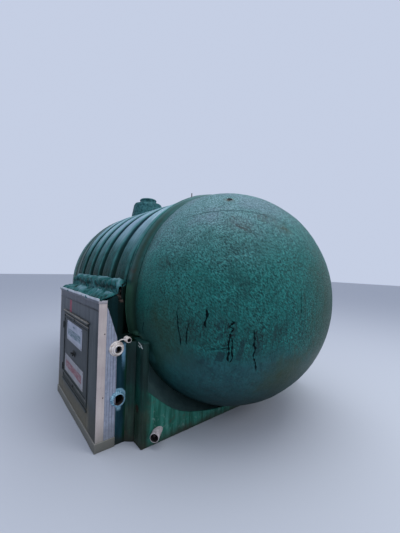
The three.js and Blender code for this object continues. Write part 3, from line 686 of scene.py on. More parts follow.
def dome_profile(rows, flip, root_y):
    """A quarter ellipse from nose to root, then back one shell thickness further in, as (y, radius)."""
    turn = np.linspace(0, math.pi / 2, rows)
    outer = np.stack([-DOME_DEPTH * np.cos(turn), DOME_RADIUS * np.sin(turn)], -1)
    back = turn[:: -max(1, rows // 14)]
    inner = np.stack([-(DOME_DEPTH - SHELL) * np.cos(back), (DOME_RADIUS - SHELL) * np.sin(back)], -1)
    inner[-1, 1] = 0
    return np.vstack([outer, inner]) * (flip, 1) + (root_y, 0)


for end, rows, around, flip, root_y in [("front", 150, 320, 1, FRONT_Y), ("rear", 96, 220, -1, REAR_Y)]:
    piece(f"{end}_dome_skin", [turned(dome_profile(rows, flip, root_y), around, pressed_dome)],
          dome_gelcoat, stands_for=[f"{end}_dome"])

# %% [markdown]
# The photographed dome has a small hole near its top, a patch of worn resin round it, and
# thin dark runs down its face. Each run is a bead of resin. Its line is given by a few points
# seen from the front, and the dome's own formula says how deep they lie.

# %% Runs of resin and the hole
# Each run by half its width and its line of (x, z).
RUNS = [
    (0.0075, [(-0.799, 1.304), (-0.792, 1.264), (-0.796, 1.223), (-0.801, 1.186), (-0.788, 1.152)]),
    (0.0066, [(-0.652, 1.215), (-0.635, 1.204), (-0.659, 1.174), (-0.635, 1.151), (-0.646, 1.115),
              (-0.646, 1.078), (-0.646, 1.016), (-0.629, 0.953), (-0.623, 0.893), (-0.601, 0.846)]),
    (0.005, [(-0.641, 1.091), (-0.624, 1.030), (-0.612, 0.954), (-0.594, 0.895), (-0.599, 0.850)]),
    (0.0064, [(-0.496, 1.154), (-0.488, 1.106), (-0.476, 1.069), (-0.476, 1.019), (-0.455, 0.981),
              (-0.454, 0.916), (-0.417, 0.847), (-0.378, 0.760)]),
    (0.0048, [(-0.942, 1.273), (-0.934, 1.201), (-0.926, 1.127), (-0.909, 1.054), (-0.890, 0.963)]),
    (0.004, [(-0.878, 1.187), (-0.883, 1.125), (-0.879, 1.062), (-0.868, 0.984)]),
    (0.0036, [(-0.068, 1.456), (-0.079, 1.371), (-0.067, 1.271)]),
    (0.0048, [(-1.047, 1.119), (-1.040, 1.060), (-1.028, 1.001)]),
    (0.0034, [(-0.759, 0.966), (-0.720, 0.972), (-0.681, 0.975), (-0.641, 0.991)]),
]
BEAD_FLATNESS = 0.35
HOLE_CENTRE = (-0.302, 2.339)
HOLE_RADIUS, TORN_EDGE = 0.027, 0.0045


def on_front_dome(across, height):
    """The dome's surface and outward direction at (x, z): the ellipsoid, pressed in as its skin is."""
    u, w = np.asarray(across) - AXIS_X, np.asarray(height) - AXIS_Z
    depth = np.sqrt(np.maximum(0, 1 - (u**2 + w**2) / DOME_RADIUS**2))
    points = np.stack([AXIS_X + u, FRONT_Y - DOME_DEPTH * depth, AXIS_Z + w], -1)
    outward = np.stack([u / DOME_RADIUS**2, -depth / DOME_DEPTH, w / DOME_RADIUS**2], -1)
    radial = np.stack([u, 0 * u, w], -1) / np.maximum(1e-9, np.hypot(u, w))[..., None]
    return points - radial * pressed_dome(points)[..., None], unit(outward)


def run_finish():
    """Black matt resin, a little green where it is worn."""
    paint, point = new_finish("dark_resin")
    worn = point.noise(60, 3).rise(0.5, 0.65)
    paint.base(worn, (0.0006, 0.004, 0.005), (0.001, 0.013, 0.015))
    return paint.dress(0.65 + worn * 0.2, worn, 0.3, 0.002, MATT)


def resin_beads():
    """One bead along each run: a flat oval section that swells and thins, tapered to nothing at both ends."""
    beads = []
    for k, (radius, line) in enumerate(RUNS):
        flat = smooth_line(line, 7)
        points, outward = on_front_dome(flat[:, 0], flat[:, 1])
        share = np.linspace(0, 1, len(points))
        swell = 1 + 0.45 * lumps(points, 0.035, 20 + k)
        size = np.clip(swell, 0.35, 1.7) * np.clip(12 * share * (1 - share), 0.05, 1)
        section = round_section(radius, 8) * [1, BEAD_FLATNESS]
        beads.append(carried(points, section, outward[len(outward) // 2], size))
    return beads


piece("resin_runs", resin_beads(), run_finish(), sharp=60)


def ragged_hole():
    """A torn ring, a tube on a circle whose radius and height wander, and a dished floor inside it that is
    painted black as the hole's shade.
    """
    centre, outward = on_front_dome(*HOLE_CENTRE)
    across = unit(np.cross(outward, Y))
    over = np.cross(outward, across)
    angle, tube = full_turn(40), full_turn(8)
    wander = 1 + 0.16 * np.sin(3 * angle + 1) + 0.10 * np.sin(7 * angle) + 0.07 * np.sin(11 * angle + 2)
    rim = HOLE_RADIUS * wander
    circle = np.cos(angle)[:, None] * across + 0.72 * np.sin(angle)[:, None] * over
    radius = rim[:, None] + TORN_EDGE * np.cos(tube)
    lift = 0.0025 + 0.0035 * np.sin(tube) * wander[:, None]
    ring = centre + circle[:, None] * radius[..., None] + outward * lift[..., None]
    rows = np.array([(0.98, 0.0022), (0.6, 0.0012), (0.0, 0.0008), (0.6, -0.002), (0.98, -0.002)])
    floor = centre + circle * (rows[:, :1] * rim)[..., None] + outward * rows[:, 1][:, None, None]
    return [closed_grid(ring), closed_grid(floor)]


def charred_finish():
    """Torn glass fibre: pale brown on the raised edge, and black inside as painted shade."""
    paint, point = new_finish("torn_fibre")
    inside = near(point, tuple(on_front_dome(*HOLE_CENTRE)[0]), (0.026, 0.026, 0.022)).rise(1.1, 1)
    fibres = point.noise(160, 4, 0.7)
    paint.base(fibres, (0.1, 0.085, 0.06), (0.26, 0.23, 0.17))
    # Painted shade: the inside of the hole is black.
    paint(inside, (0.002, 0.003, 0.003))
    return paint.dress(0.85, fibres, 0.6, 0.003)


piece("hole_edge", ragged_hole(), charred_finish(), sharp=60)

# %% [markdown]
# ## The barrel
# Beside each dome a band runs round the tank. It rises slowly to a thin lip and then falls to
# the first of five ribs. A rib's top is almost flat and it falls steeply into the grooves,
# which a fourth power gives well. The bands and ribs are all profiles turned about the axis.

# %% Band and rib finishes
def rib_finish():
    """Chalked teal: pale where a rib's top faces the sky, dark green lower down, painted shade in the grooves
    and a painted highlight along each rib's near edge.

    The relief attribute holds the place across a rib, from -1 to 1, or 3 on the hatch.
    """
    paint, point = new_finish("rib_gelcoat")
    x, _, z = point.axes()
    radius = off_axis(x, z, (AXIS_X, AXIS_Z))
    across = point.stored("relief")
    wander = point.noise(3, 3) - 0.5
    mottle = point.noise(12, 6, 0.7).rise(0.3, 0.7)
    fibres = point.scaled((30, 110, 30)).noise(1, 4, 0.65)
    ridges = point.scaled((3, 62, 3)).noise(1, 4, 0.62).rise(0.4, 0.64)
    dark_teal = blend(mottle, (0.0003, 0.021, 0.018), (0.0016, 0.042, 0.037))
    mid_teal = blend(mottle, (0.006, 0.07, 0.072), (0.02, 0.125, 0.13))
    paint.base((z + wander * 0.4).rise(1.55, 2), dark_teal, mid_teal)
    paint(ridges * 0.45 * z.rise(1.45, 1.8), (0.02, 0.15, 0.145))
    on_top = (across + wander * 0.4).rise(-0.82, -0.3) * across.rise(1, 0.8)
    chalk = (z + wander * 0.4).rise(1.72, 2.26) * on_top
    chalk_tone = blend(ridges, (0.19, 0.34, 0.39), (0.43, 0.57, 0.64))
    paint(chalk * (0.95 - z.rise(2.26, 2.5) * 0.40), chalk_tone)
    lilac = point.noise(1.9, 3).rise(0.45, 0.62) * on_top * z.rise(1.85, 2.3)
    paint(lilac * 0.40, (0.2, 0.26, 0.38))
    # Painted shade: dark in the grooves and on each rib's near side, its tone by height.
    groove = (radius + wander * 0.006).rise(1.256, 1.244).atleast(across.rise(-0.74, -0.86) * 0.8)
    depths = blend((z + wander * 0.3).rise(1.7, 2.2), (0.0006, 0.016, 0.013), (0.0015, 0.018, 0.028))
    paint(groove * 0.95, depths)
    # Painted highlight: a pale line high on each rib's near slope.
    near_edge_highlight = across.rise(-0.7, -0.62) * across.rise(-0.42, -0.52)
    paint(near_edge_highlight * (0.20 + mottle * 0.40), (0.05, 0.215, 0.2))
    moss = point.noise(5, 5, 0.65).rise(0.5, 0.66) * (z + wander * 0.5).rise(1.95, 1.6)
    paint(moss * 0.45, (0.006, 0.02, 0.009))
    rubbed = point.scaled((5, 90, 5)).noise(1, 3).rise(0.6, 0.68)
    paint(rubbed * 0.40 * (1 - groove), (0.04, 0.2, 0.18))
    on_hatch = across.rise(1.5, 2)
    hatch_tone = blend(point.noise(26, 5, 0.7).rise(0.38, 0.6), (0.012, 0.052, 0.058), (0.042, 0.14, 0.15))
    paint(on_hatch * 0.9, hatch_tone)
    height = fibres * 0.6 + mottle * 0.4 + ridges * 0.8
    roughness = 0.50 + chalk * 0.3 + groove * 0.2
    return paint.dress(roughness, height, 0.5, 0.004, DULL)


def band_finish():
    """Smooth green: an olive strip beside the dome, a worn lip with a painted highlight, teal and rust spots
    between, painted shade behind the lip and painted light by the post.
    """
    paint, point = new_finish("band_gelcoat")
    x, along, z = point.axes()
    radius = off_axis(x, z, (AXIS_X, AXIS_Z))
    y = abs(along) * -1
    wander = point.noise(4, 4) - 0.5
    mottle = point.noise(14, 5, 0.65).rise(0.3, 0.7)
    fibres = point.scaled((70, 70, 34)).noise(1, 4, 0.7)
    low_teal = blend(mottle, (0.002, 0.04, 0.036), (0.006, 0.07, 0.062))
    paint.base(mottle, (0.0004, 0.048, 0.042), (0.001, 0.086, 0.074))
    paint((z + wander * 0.4).rise(1.95, 1.65), low_teal)
    chalk = (z + wander * 0.6).rise(2.1, 2.6)
    paint(chalk * 0.45, (0.02, 0.16, 0.15))
    strip = (y + wander * 0.05).rise(FRONT_Y + 0.125, FRONT_Y + 0.07) * (z + wander * 0.5).rise(2.45, 2.1)
    olive = blend(fibres, (0.006, 0.026, 0.017), (0.02, 0.056, 0.04))
    paint(strip * 0.92, olive)
    low_olive = blend(fibres, (0.006, 0.026, 0.018), (0.018, 0.054, 0.038))
    paint(strip * (z + wander * 0.3).rise(1.6, 1.4) * 0.9, low_olive)
    merging = y.rise(FRONT_Y + 0.06, FRONT_Y + 0.01)
    teal = blend(mottle, (0.003, 0.058, 0.054), (0.012, 0.108, 0.1))
    paint(merging * 0.65 * z.rise(1.4, 1.8), teal)
    # Painted shade in the fall from the lip down to the first rib.
    behind_lip_shade = y.rise(FRONT_Y + 0.168, FRONT_Y + 0.184)
    paint(behind_lip_shade * 0.85, (0.001, 0.012, 0.011))
    rust = point.noise(8, 4, 0.7).rise(0.6, 0.7) * (z + wander).rise(2.1, 1.6)
    paint(rust * 0.6, (0.055, 0.036, 0.024))
    # Painted light: the band is lightened beside the house wall and over the post, where it lies in shade.
    pocket_light = x.rise(-1, -1.04) * (z + wander * 0.1).rise(1.5, 1.4) * y.rise(FRONT_Y + 0.01, FRONT_Y + 0.13)
    pocket_light = pocket_light * along.rise(0, -0.5)
    pocket_light = pocket_light.atleast(near(point, (-1.04, FRONT_Y + 0.03, 0.950), (0.09, 0.20, 0.070)).rise(1, 0.5))
    paint(pocket_light * 0.92, blend(fibres, (0.085, 0.24, 0.15), (0.13, 0.34, 0.23)))
    # The lip's crest is paler: worn, and with a painted highlight.
    lip = radius.rise(1.2788, 1.2812)
    paint(lip * (0.45 + mottle * 0.4) * z.rise(1.3, 1.7), (0.05, 0.32, 0.28))
    height = fibres * 0.7 + mottle * 0.4
    return paint.dress(0.40 + strip * 0.25 + rust * 0.2, height, 0.4, 0.003, SATIN)


rib_gelcoat = rib_finish()
band_gelcoat = band_finish()
print("rib and band finishes ready")


# %% Bands and ribs
LIP_RADIUS, REAR_RADIUS = 1.282, 1.2515
VALLEY, CREST = 1.230, 1.262
GROOVES = [-0.490, -0.060, 0.300, 0.660]
BARREL_FROM, BARREL_TO = FRONT_Y + 0.190, REAR_Y - 0.190
AROUND = 256


def ring_shell(outer):
    """A ring's closed profile: the outer line of (y, radius), then the same line one skin in, backwards."""
    slope = unit(np.gradient(outer, axis=0))
    inner = outer + SHELL * np.stack([slope[:, 1], -slope[:, 0]], -1)
    inner[:, 0] = np.clip(inner[:, 0], outer[0, 0], outer[-1, 0])
    inner[0, 0], inner[-1, 0] = outer[0, 0], outer[-1, 0]
    return np.vstack([outer, inner[::-3], inner[:1]])


def pressed_barrel(points):
    """How far a ring is pressed in: long soft waves and small hand-laid unevenness."""
    return 0.0012 * (1 + lumps(points, 0.55, 5)) + 0.0005 * (1 + lumps(points, 0.07, 6))


BAND = [(0.0005, 1.2485), (0.01, 1.25), (0.03, 1.257), (0.052, 1.265), (0.08, 1.2705), (0.145, 1.2765),
        (0.153, 1.2805), (0.161, 1.2817), (0.168, 1.2775), (0.176, 1.266), (0.184, 1.252), (0.1896, 1.246)]
band_line = smooth_line(np.add(BAND, (FRONT_Y, 0)), 5)
rear_line = np.minimum(band_line, (np.inf, REAR_RADIUS))[::-1] * (-1, 1) + (FRONT_Y + REAR_Y, 0)


def rib_radius(share):
    """The radius falls with the fourth power of the way out from a rib's middle, from -1 to 1."""
    return VALLEY + (CREST - VALLEY) * (1 - np.abs(share) ** 4)


def rib_line(low, high, steps=34):
    """From groove to groove: y goes with the cosine of even steps."""
    share = -np.cos(np.linspace(0, math.pi, steps))
    return np.stack([low + (share + 1) / 2 * (high - low), rib_radius(share)], -1)


for end, line in [("front", band_line), ("rear", rear_line)]:
    piece(f"{end}_band_skin", [turned(ring_shell(line), AROUND, pressed_barrel)],
          band_gelcoat, stands_for=[f"{end}_band"])

rib_edges = np.array([BARREL_FROM, *GROOVES, BARREL_TO])
for k, (low, high) in enumerate(zip(rib_edges, rib_edges[1:]), start=1):
    ring, faces = turned(ring_shell(rib_line(low + GAP / 2, high - GAP / 2)), AROUND, pressed_barrel)
    across = 2 * (ring[..., 1] - low) / (high - low) - 1
    piece(f"rib_skin_{k}", [(ring, faces)], rib_gelcoat, stands_for=[f"barrel_rib_{k}"],
          relief=across)

# %% [markdown]
# ## Hatch and rod
# The hatch collar is a tapered ring that was laid on to the barrel with resin, so its foot
# flares out to the ribs in a soft fillet. Where the cone meets the barrel is found by going
# down the cone a few times. A curve with that corner as its middle point makes the fillet.

# %% Hatch
HATCH = np.array([AXIS_X, 1.070])
COLLAR_TOP, COLLAR_HEIGHT = 0.252, 2.806
CONE_TOP = COLLAR_TOP + 0.003
CONE_FOOT, CONE_FOOT_Z = 0.319, 2.440
MOUTH, MOUTH_FLOOR = 0.134, 2.792
ROUNDING = 0.026
FILLET_OUT, FILLET_UP = 0.045, 0.055


def barrel_radius(y):
    """The tank's radius at any place along it: ribs, then the rear band, then the rear dome."""
    k = np.clip(np.searchsorted(rib_edges, y) - 1, 0, len(rib_edges) - 2)
    share = np.clip((y - rib_edges[k]) / (rib_edges[k + 1] - rib_edges[k]), 0, 1) * 2 - 1
    ribbed = rib_radius(share)
    domed = DOME_RADIUS * np.sqrt(1 - np.clip((y - REAR_Y) / DOME_DEPTH, 0, 1) ** 2)
    return np.where(y > REAR_Y, domed, np.where(y > BARREL_TO, REAR_RADIUS, ribbed))


def barrel_top(x, y):
    """The height of the tank's top surface at (x, y)."""
    return AXIS_Z + np.sqrt(barrel_radius(y) ** 2 - (x - AXIS_X) ** 2)


def cone(height):
    """The collar's radius at a height: a straight line from the cone's foot to its top."""
    change, tall = CONE_TOP - CONE_FOOT, COLLAR_HEIGHT - CONE_FOOT_Z
    return CONE_FOOT + change * (height - CONE_FOOT_Z) / tall


def collar_surface(columns=96):
    """Rows round the hatch: in from the top ring, over the rim, down the cone, and out along the fillet."""
    direction = round_section(1, columns)

    def barrel_under(radius):
        return barrel_top(*(HATCH + radius[:, None] * direction).T)

    corner_z = np.full(columns, 2.5)
    for _ in range(8):
        corner_z = barrel_under(cone(corner_z))
    corner = cone(corner_z)
    foot = corner + FILLET_OUT
    foot_z = barrel_under(foot)
    start_z = corner_z + FILLET_UP

    rows = [(MOUTH, MOUTH_FLOOR), (MOUTH, COLLAR_HEIGHT)]
    for turn in np.linspace(0, math.pi / 2, 6):
        out, down = ROUNDING * (1 - math.sin(turn)), ROUNDING * (1 - math.cos(turn))
        rows.append((COLLAR_TOP - out, COLLAR_HEIGHT - down))
    for share in np.linspace(0.05, 1, 14):
        height = (COLLAR_HEIGHT - ROUNDING) * (1 - share) + start_z * share
        rows.append((cone(height), height))
    for share in np.linspace(0.12, 1, 9):
        a, b, c = (1 - share) ** 2, 2 * share * (1 - share), share**2
        fillet_z = a * start_z + b * corner_z + c * foot_z + 0.001 * (1 - share)
        rows.append((a * cone(start_z) + b * corner + c * foot, fillet_z))
    rows += [(foot + 0.002, foot_z - 0.004), (corner - SHELL, corner_z - 0.014)]
    rows += [(cone(start_z) - SHELL, start_z), (COLLAR_TOP - 0.020, 2.776)]
    radius, height = (np.stack([np.broadcast_to(value, columns) for value in part]) for part in zip(*rows))
    points = np.dstack([HATCH + radius[..., None] * direction, height])
    points[..., :2] += direction * (0.0018 * lumps(points, 0.11, 8) - 0.002)[..., None]
    return closed_grid(points)


CAP = [(0.148, 0), (0.1535, 0.006), (0.1545, 0.016), (0.15, 0.022), (0.15, 0.058), (0.1545, 0.064),
       (0.1535, 0.074), (0.138, 0.09), (0.1, 0.0975), (0.05, 0.0995)]
cap_profile = np.vstack([(0, 0), smooth_line(CAP, 4), (0, 0.0995)]) + (0, COLLAR_HEIGHT + GAP)
cap = upright_turn(cap_profile, HATCH, 72, 0.0012, 9)
for node, part in [("hatch_collar", collar_surface()), ("hatch_cap", cap)]:
    marked = np.full(part[0].size // 3, 3.0)
    piece(node + "_skin", [part], rib_gelcoat, stands_for=[node], relief=marked)


def iron_finish():
    """Dark iron with matt brown rust in patches, bare and metallic between them."""
    paint, point = new_finish("rusty_iron")
    rust = point.noise(45, 5, 0.7).rise(0.42, 0.62)
    grain = point.noise(300, 3, 0.7)
    paint.base(rust, (0.018, 0.018, 0.02), blend(grain, (0.045, 0.018, 0.009), (0.11, 0.045, 0.02)))
    return paint.dress(0.42 + rust * 0.45, grain + rust * 0.5, 0.5, 0.0012, metallic=0.75 - rust * 0.7)


rusty_iron = iron_finish()
ROD = (AXIS_X, -0.300)
ROD_RADIUS, ROD_WANDER = 0.0072, 0.0006
rod_low, rod_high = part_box("top_rod")
rod_foot, rod_length = rod_low.z + 0.003, rod_high.z - rod_low.z - 0.0035
rod_path = [(ROD[0] + ROD_WANDER * math.sin(9 * t), ROD[1], rod_foot + rod_length * t)
            for t in np.linspace(0, 1, 12)]
NUT = [(0, 0), (0.019, 0), (0.0195, 0.003), (0.0195, 0.010), (0.017, 0.013), (0, 0.013)]
nut = upright_turn(np.add(NUT, (0, barrel_top(*ROD) - 0.002)), ROD, 6)
piece("rod_and_nut", [carried(rod_path, round_section(ROD_RADIUS, 12), Y), nut], rusty_iron,
      stands_for=["top_rod"])

# %% [markdown]
# ## The roof of the valve house
# The roof is one hand-laid sheet. It was draped from the ribs over the house while soft, so
# it carries the ribs' humps down to the eave and has folds like cloth. The sheet is a grid:
# one number goes along the tank and the other from the eave up the slope, the step and the
# ledge. Each fold is a soft ridge with a slant, and the sum of them lifts the sheet.

# %% Draped roof
ROOF_PROFILE = [(-1.4200, 1.3125), (-1.4200, 1.3190), (-1.4160, 1.3240), (-1.3600, 1.3440), (-1.3000, 1.3640),
                (-1.2700, 1.3800), (-1.2600, 1.4050), (-1.2520, 1.4450), (-1.2400, 1.4740), (-1.2100, 1.4815),
                (-1.1500, 1.4825), (-1.1000, 1.4830), (-1.0720, 1.4830)]
EAVE_NEAR, ROOF_FAR = (corner.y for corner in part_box("roof_slope"))
NEAR_END = [(-1.43, EAVE_NEAR), (-1.30, EAVE_NEAR), (-1.262, -1.128), (-1.200, -1.122), (-1.150, -1.034),
            (-1.100, -0.947), (-1.072, -0.897)]
SLANT = 0.72
ROOF_THICKNESS, FLAP_THICKNESS = 0.009, 0.005
# Soft mounds: place along the tank and up the profile, half sizes both ways, and rise.
PILLOWS = [
    (0.17, 0.27, 0.13, 0.070, 0.012), (-0.27, 0.30, 0.17, 0.075, 0.018), (-0.76, 0.33, 0.11, 0.070, 0.020),
    (-1.02, 0.35, 0.09, 0.060, 0.015), (0.27, 0.74, 0.06, 0.10, 0.018), (0.10, 0.80, 0.06, 0.11, 0.014),
    (-0.13, 0.80, 0.05, 0.12, 0.014), (-0.50, 0.80, 0.12, 0.10, 0.022), (-0.93, 0.76, 0.11, 0.09, 0.018),
]


def smooth_rise(value, low, high):
    """0 below low, 1 above high, smooth between."""
    t = np.clip((value - low) / (high - low), 0, 1)
    return t * t * (3 - 2 * t)


def roof_folds(y, up):
    """Soft mounds, and thin ridges of constant y minus a slant times up: their sum, and a map of painted
    light, pale on the folds and dark in the gap under the ledge.
    """
    mounds = np.zeros_like(y)
    for place, middle, half, tall, rise in PILLOWS:
        beside = (y - place - SLANT * (up - middle)) / half
        above = (up - middle) / tall
        mounds += rise * np.exp(-np.abs(beside) ** 3 - np.abs(above) ** 3)
    chance = np.random.default_rng(41)
    ridges = 0.013 * np.exp(-(((y + 0.143 - 0.73 * (up - 1.0)) / 0.012) ** 2))
    for place in np.arange(-1.75, 0.80, 0.046):
        start = place + chance.uniform(-0.018, 0.018) + SLANT * (up - 0.5)
        start = start + 0.008 * np.sin(chance.uniform(9, 16) * up)
        width = chance.uniform(0.005, 0.012)
        along = np.clip(0.35 + 0.75 * np.sin(chance.uniform(7, 14) * up + chance.uniform(0, 6)), 0, 1)
        ridges += chance.uniform(0.003, 0.010) * along * np.exp(-(((y - start) / width) ** 2))
    # The gap under the ledge fold: a dip in the sheet, and a painted shadow in the map.
    row_gap = np.exp(-(((up - 0.545 - 0.02 * np.sin(11 * y)) / 0.035) ** 2)) * (0.6 + 0.4 * np.sin(8 * y + 2))
    creases = np.stack([y - SLANT * up, up * 0.30, 0 * y], -1)
    mounds += 0.007 * (0.6 - np.abs(lumps(creases, 0.075, 18)))
    return mounds + ridges - 0.010 * row_gap, mounds * 0.85 + ridges * 0.75 - 0.008 * row_gap


def roof_sheet(columns=300):
    """The profile carried from the near end to the far edge, lifted by the folds and drooping at its end. It
    also gives the folds' map of painted light, paler where the ledge droops.
    """
    profile = smooth_line(ROOF_PROFILE, 6)
    along = np.linspace(0, 1, len(profile))
    share = np.linspace(0, 1, columns)
    up, across = np.meshgrid(along, share, indexing="ij")
    start = np.interp(profile[:, :1], *np.array(NEAR_END).T) + 0.005 * np.sin(40 * up) * (up > 0.05)
    y = start + (ROOF_FAR - start) * across
    beside = AXIS_X - np.sqrt((LIP_RADIUS + 0.002) ** 2 - (profile[:, 1:] - AXIS_Z) ** 2)
    x = np.where(y < BARREL_FROM, np.minimum(profile[:, :1], beside), profile[:, :1])
    droop = smooth_rise(up, 0.42, 0.55) * (1 - 0.5 * smooth_rise(up, 0.8, 1.0))
    droop = droop * (1 - smooth_rise(y - start, 0.0, 0.075))
    points = np.stack([x, y, profile[:, 1:] - 0.036 * droop], -1)
    forwards, upwards = unit(np.gradient(profile, axis=0)).T
    outward = np.stack([-upwards, 0 * upwards, forwards], -1)
    edge = smooth_rise(up, 0.04, 0.16) * (1 - smooth_rise(up, 0.86, 1.0))
    folds, pale = roof_folds(y, up)
    shift = (folds + 0.003 * lumps(points, 0.14, 12) - 0.002) * edge
    return points + outward[:, None] * shift[..., None], pale + 0.006 * droop


def roof_finish():
    """Green gelcoat: the ridges of the folds chalked pale and given a painted highlight, painted shade in the
    hollows.
    """
    paint, point = new_finish("roof_gelcoat")
    relief = point.stored("relief")
    mottle = point.noise(16, 6, 0.7).rise(0.3, 0.7)
    fibres = point.noise(85, 4, 0.7)
    # From the stored map of painted light: painted highlight on the ridges, painted shade in the hollows.
    ridge = (relief + (mottle - 0.5) * 0.006).rise(0.006, 0.015)
    hollow = (relief + (mottle - 0.5) * 0.004).rise(0.003, -0.0015)
    paint.base(mottle, (0.003, 0.062, 0.06), (0.012, 0.112, 0.11))
    chalk = point.noise(5, 4, 0.65).rise(0.4, 0.6)
    paint(chalk * 0.50, (0.036, 0.14, 0.146))
    paint(ridge * 0.80, blend(chalk, (0.05, 0.15, 0.162), (0.15, 0.25, 0.29)))
    paint(hollow * 0.74, (0.0004, 0.014, 0.013))
    brown = point.noise(7, 4).rise(0.56, 0.7)
    paint(brown * 0.35 * (1 - ridge), (0.012, 0.024, 0.014))
    return paint.dress(0.5 + ridge * 0.2, fibres + mottle * 0.5, 0.5, 0.003, DULL)


roof_points, roof_painted_light = roof_sheet()
piece("roof_sheet", [thick_sheet(roof_points, -ROOF_THICKNESS)], roof_finish(),
      stands_for=["roof_slope", "roof_step", "roof_ledge"], relief=np.stack([roof_painted_light, roof_painted_light]))


def flap_finish():
    """Old resin that has broken open: rust-brown lumps and some dark green, with black painted shade between
    them.
    """
    paint, point = new_finish("broken_resin_and_shade")
    lump = point.noise(26, 5, 0.7)
    # The black is painted shade of the gap under the ledge.
    paint.base(lump.rise(0.42, 0.62), (0.0015, 0.003, 0.0025), (0.05, 0.036, 0.028))
    green = point.shifted(4.0).noise(15, 4).rise(0.5, 0.62)
    paint(green * 0.75, (0.004, 0.026, 0.02))
    return paint.dress(0.75, lump * 2, 0.8, 0.008, SATIN)


def end_flap(columns=24, rows=40):
    """From the near wall's top edge up to the ledge: straight lines that lean back, with lumps on them."""
    across, up = np.meshgrid(np.linspace(0, 1, columns), np.linspace(0, 1, rows))
    foot = np.interp(across, [0, 0.42, 1], [1.352, 1.290, 1.286])
    x = -1.268 + 0.018 * up + (0.063 - 0.012 * up) * across
    y = -1.1335 + 0.080 * up**1.4
    z = foot + (1.4735 - foot) * up
    points = np.stack([x, y, z], -1)
    inside = np.sin(math.pi * across) * np.sin(math.pi * up)
    points[..., 1] += inside**0.5 * (0.010 * lumps(points, 0.06, 44) + 0.006 * lumps(points, 0.03, 45))
    return points


# The flap closes the dark gap under the ledge and carries its painted shade.
piece("roof_end_flap", [thick_sheet(end_flap(), FLAP_THICKNESS)], flap_finish())

# %% [markdown]
# ## Plates and walls
# The walls, panels and trims already have the right outlines in the CAD model. They only lack
# rounded edges and the unevenness of hand-laid or folded sheet. So each is copied, its
# doubles are merged and its flat faces joined, its edges are rounded, and it is cut in cells
# that are then pressed a little in and out. The CAD node itself stays as it is, hidden.

# %% Reworked copies
def cut_in_cells(working, low, high, cell):
    """Cuts a mesh by planes square to each long axis, every cell metres, so that it can bend."""
    for axis in range(3):
        count = int((high[axis] - low[axis]) / cell)
        for k in range(1, count + 1):
            place, normal = [0, 0, 0], [0, 0, 0]
            place[axis] = low[axis] + (high[axis] - low[axis]) * k / (count + 1)
            normal[axis] = 1
            everything = working.verts[:] + working.edges[:] + working.faces[:]
            bmesh.ops.bisect_plane(working, geom=everything, plane_co=place, plane_no=normal)


def reworked(node, material, body="drum", edge=0.002, cell=0.06, press=0.0, length=0.25, towards=None,
             seed=1):
    """A copy of a CAD node with rounded edges, pressed unevenly along one direction, flat at its border."""
    low, high = corners(node)
    working = bmesh.new()
    working.from_mesh(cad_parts[node].data)
    bmesh.ops.remove_doubles(working, verts=working.verts, dist=2e-5)
    bmesh.ops.dissolve_limit(working, angle_limit=math.radians(1.5), verts=working.verts, edges=working.edges)
    folded = [e for e in working.edges if e.is_manifold and e.calc_face_angle(0) > math.radians(30)]
    bmesh.ops.bevel(working, geom=folded, offset=edge, segments=2, profile=0.5, affect="EDGES",
                    clamp_overlap=True)
    if press:
        cut_in_cells(working, low, high, cell)
    bmesh.ops.triangulate(working, faces=[f for f in working.faces if len(f.verts) > 4])
    mesh = bpy.data.meshes.new(node + "_sheet")
    working.to_mesh(mesh)
    working.free()
    if press:
        points = np.zeros(len(mesh.vertices) * 3)
        mesh.vertices.foreach_get("co", points)
        points = points.reshape(-1, 3)
        if towards is None:
            towards = (X, Y, Z)[np.argmin(high - low)]
        fade = np.ones(len(points))
        for axis in np.flatnonzero(high - low > 0.15):
            inside = np.minimum(points[:, axis] - low[axis], high[axis] - points[:, axis])
            fade *= smooth_rise(inside, 0.0, 0.06)
        shift = press * lumps(points * (1 - np.abs(towards)), length, seed) * fade
        points += np.asarray(towards) * shift[:, None]
        mesh.vertices.foreach_set("co", points.ravel())
    settle(node + "_sheet", mesh, material, body, [node], 35)


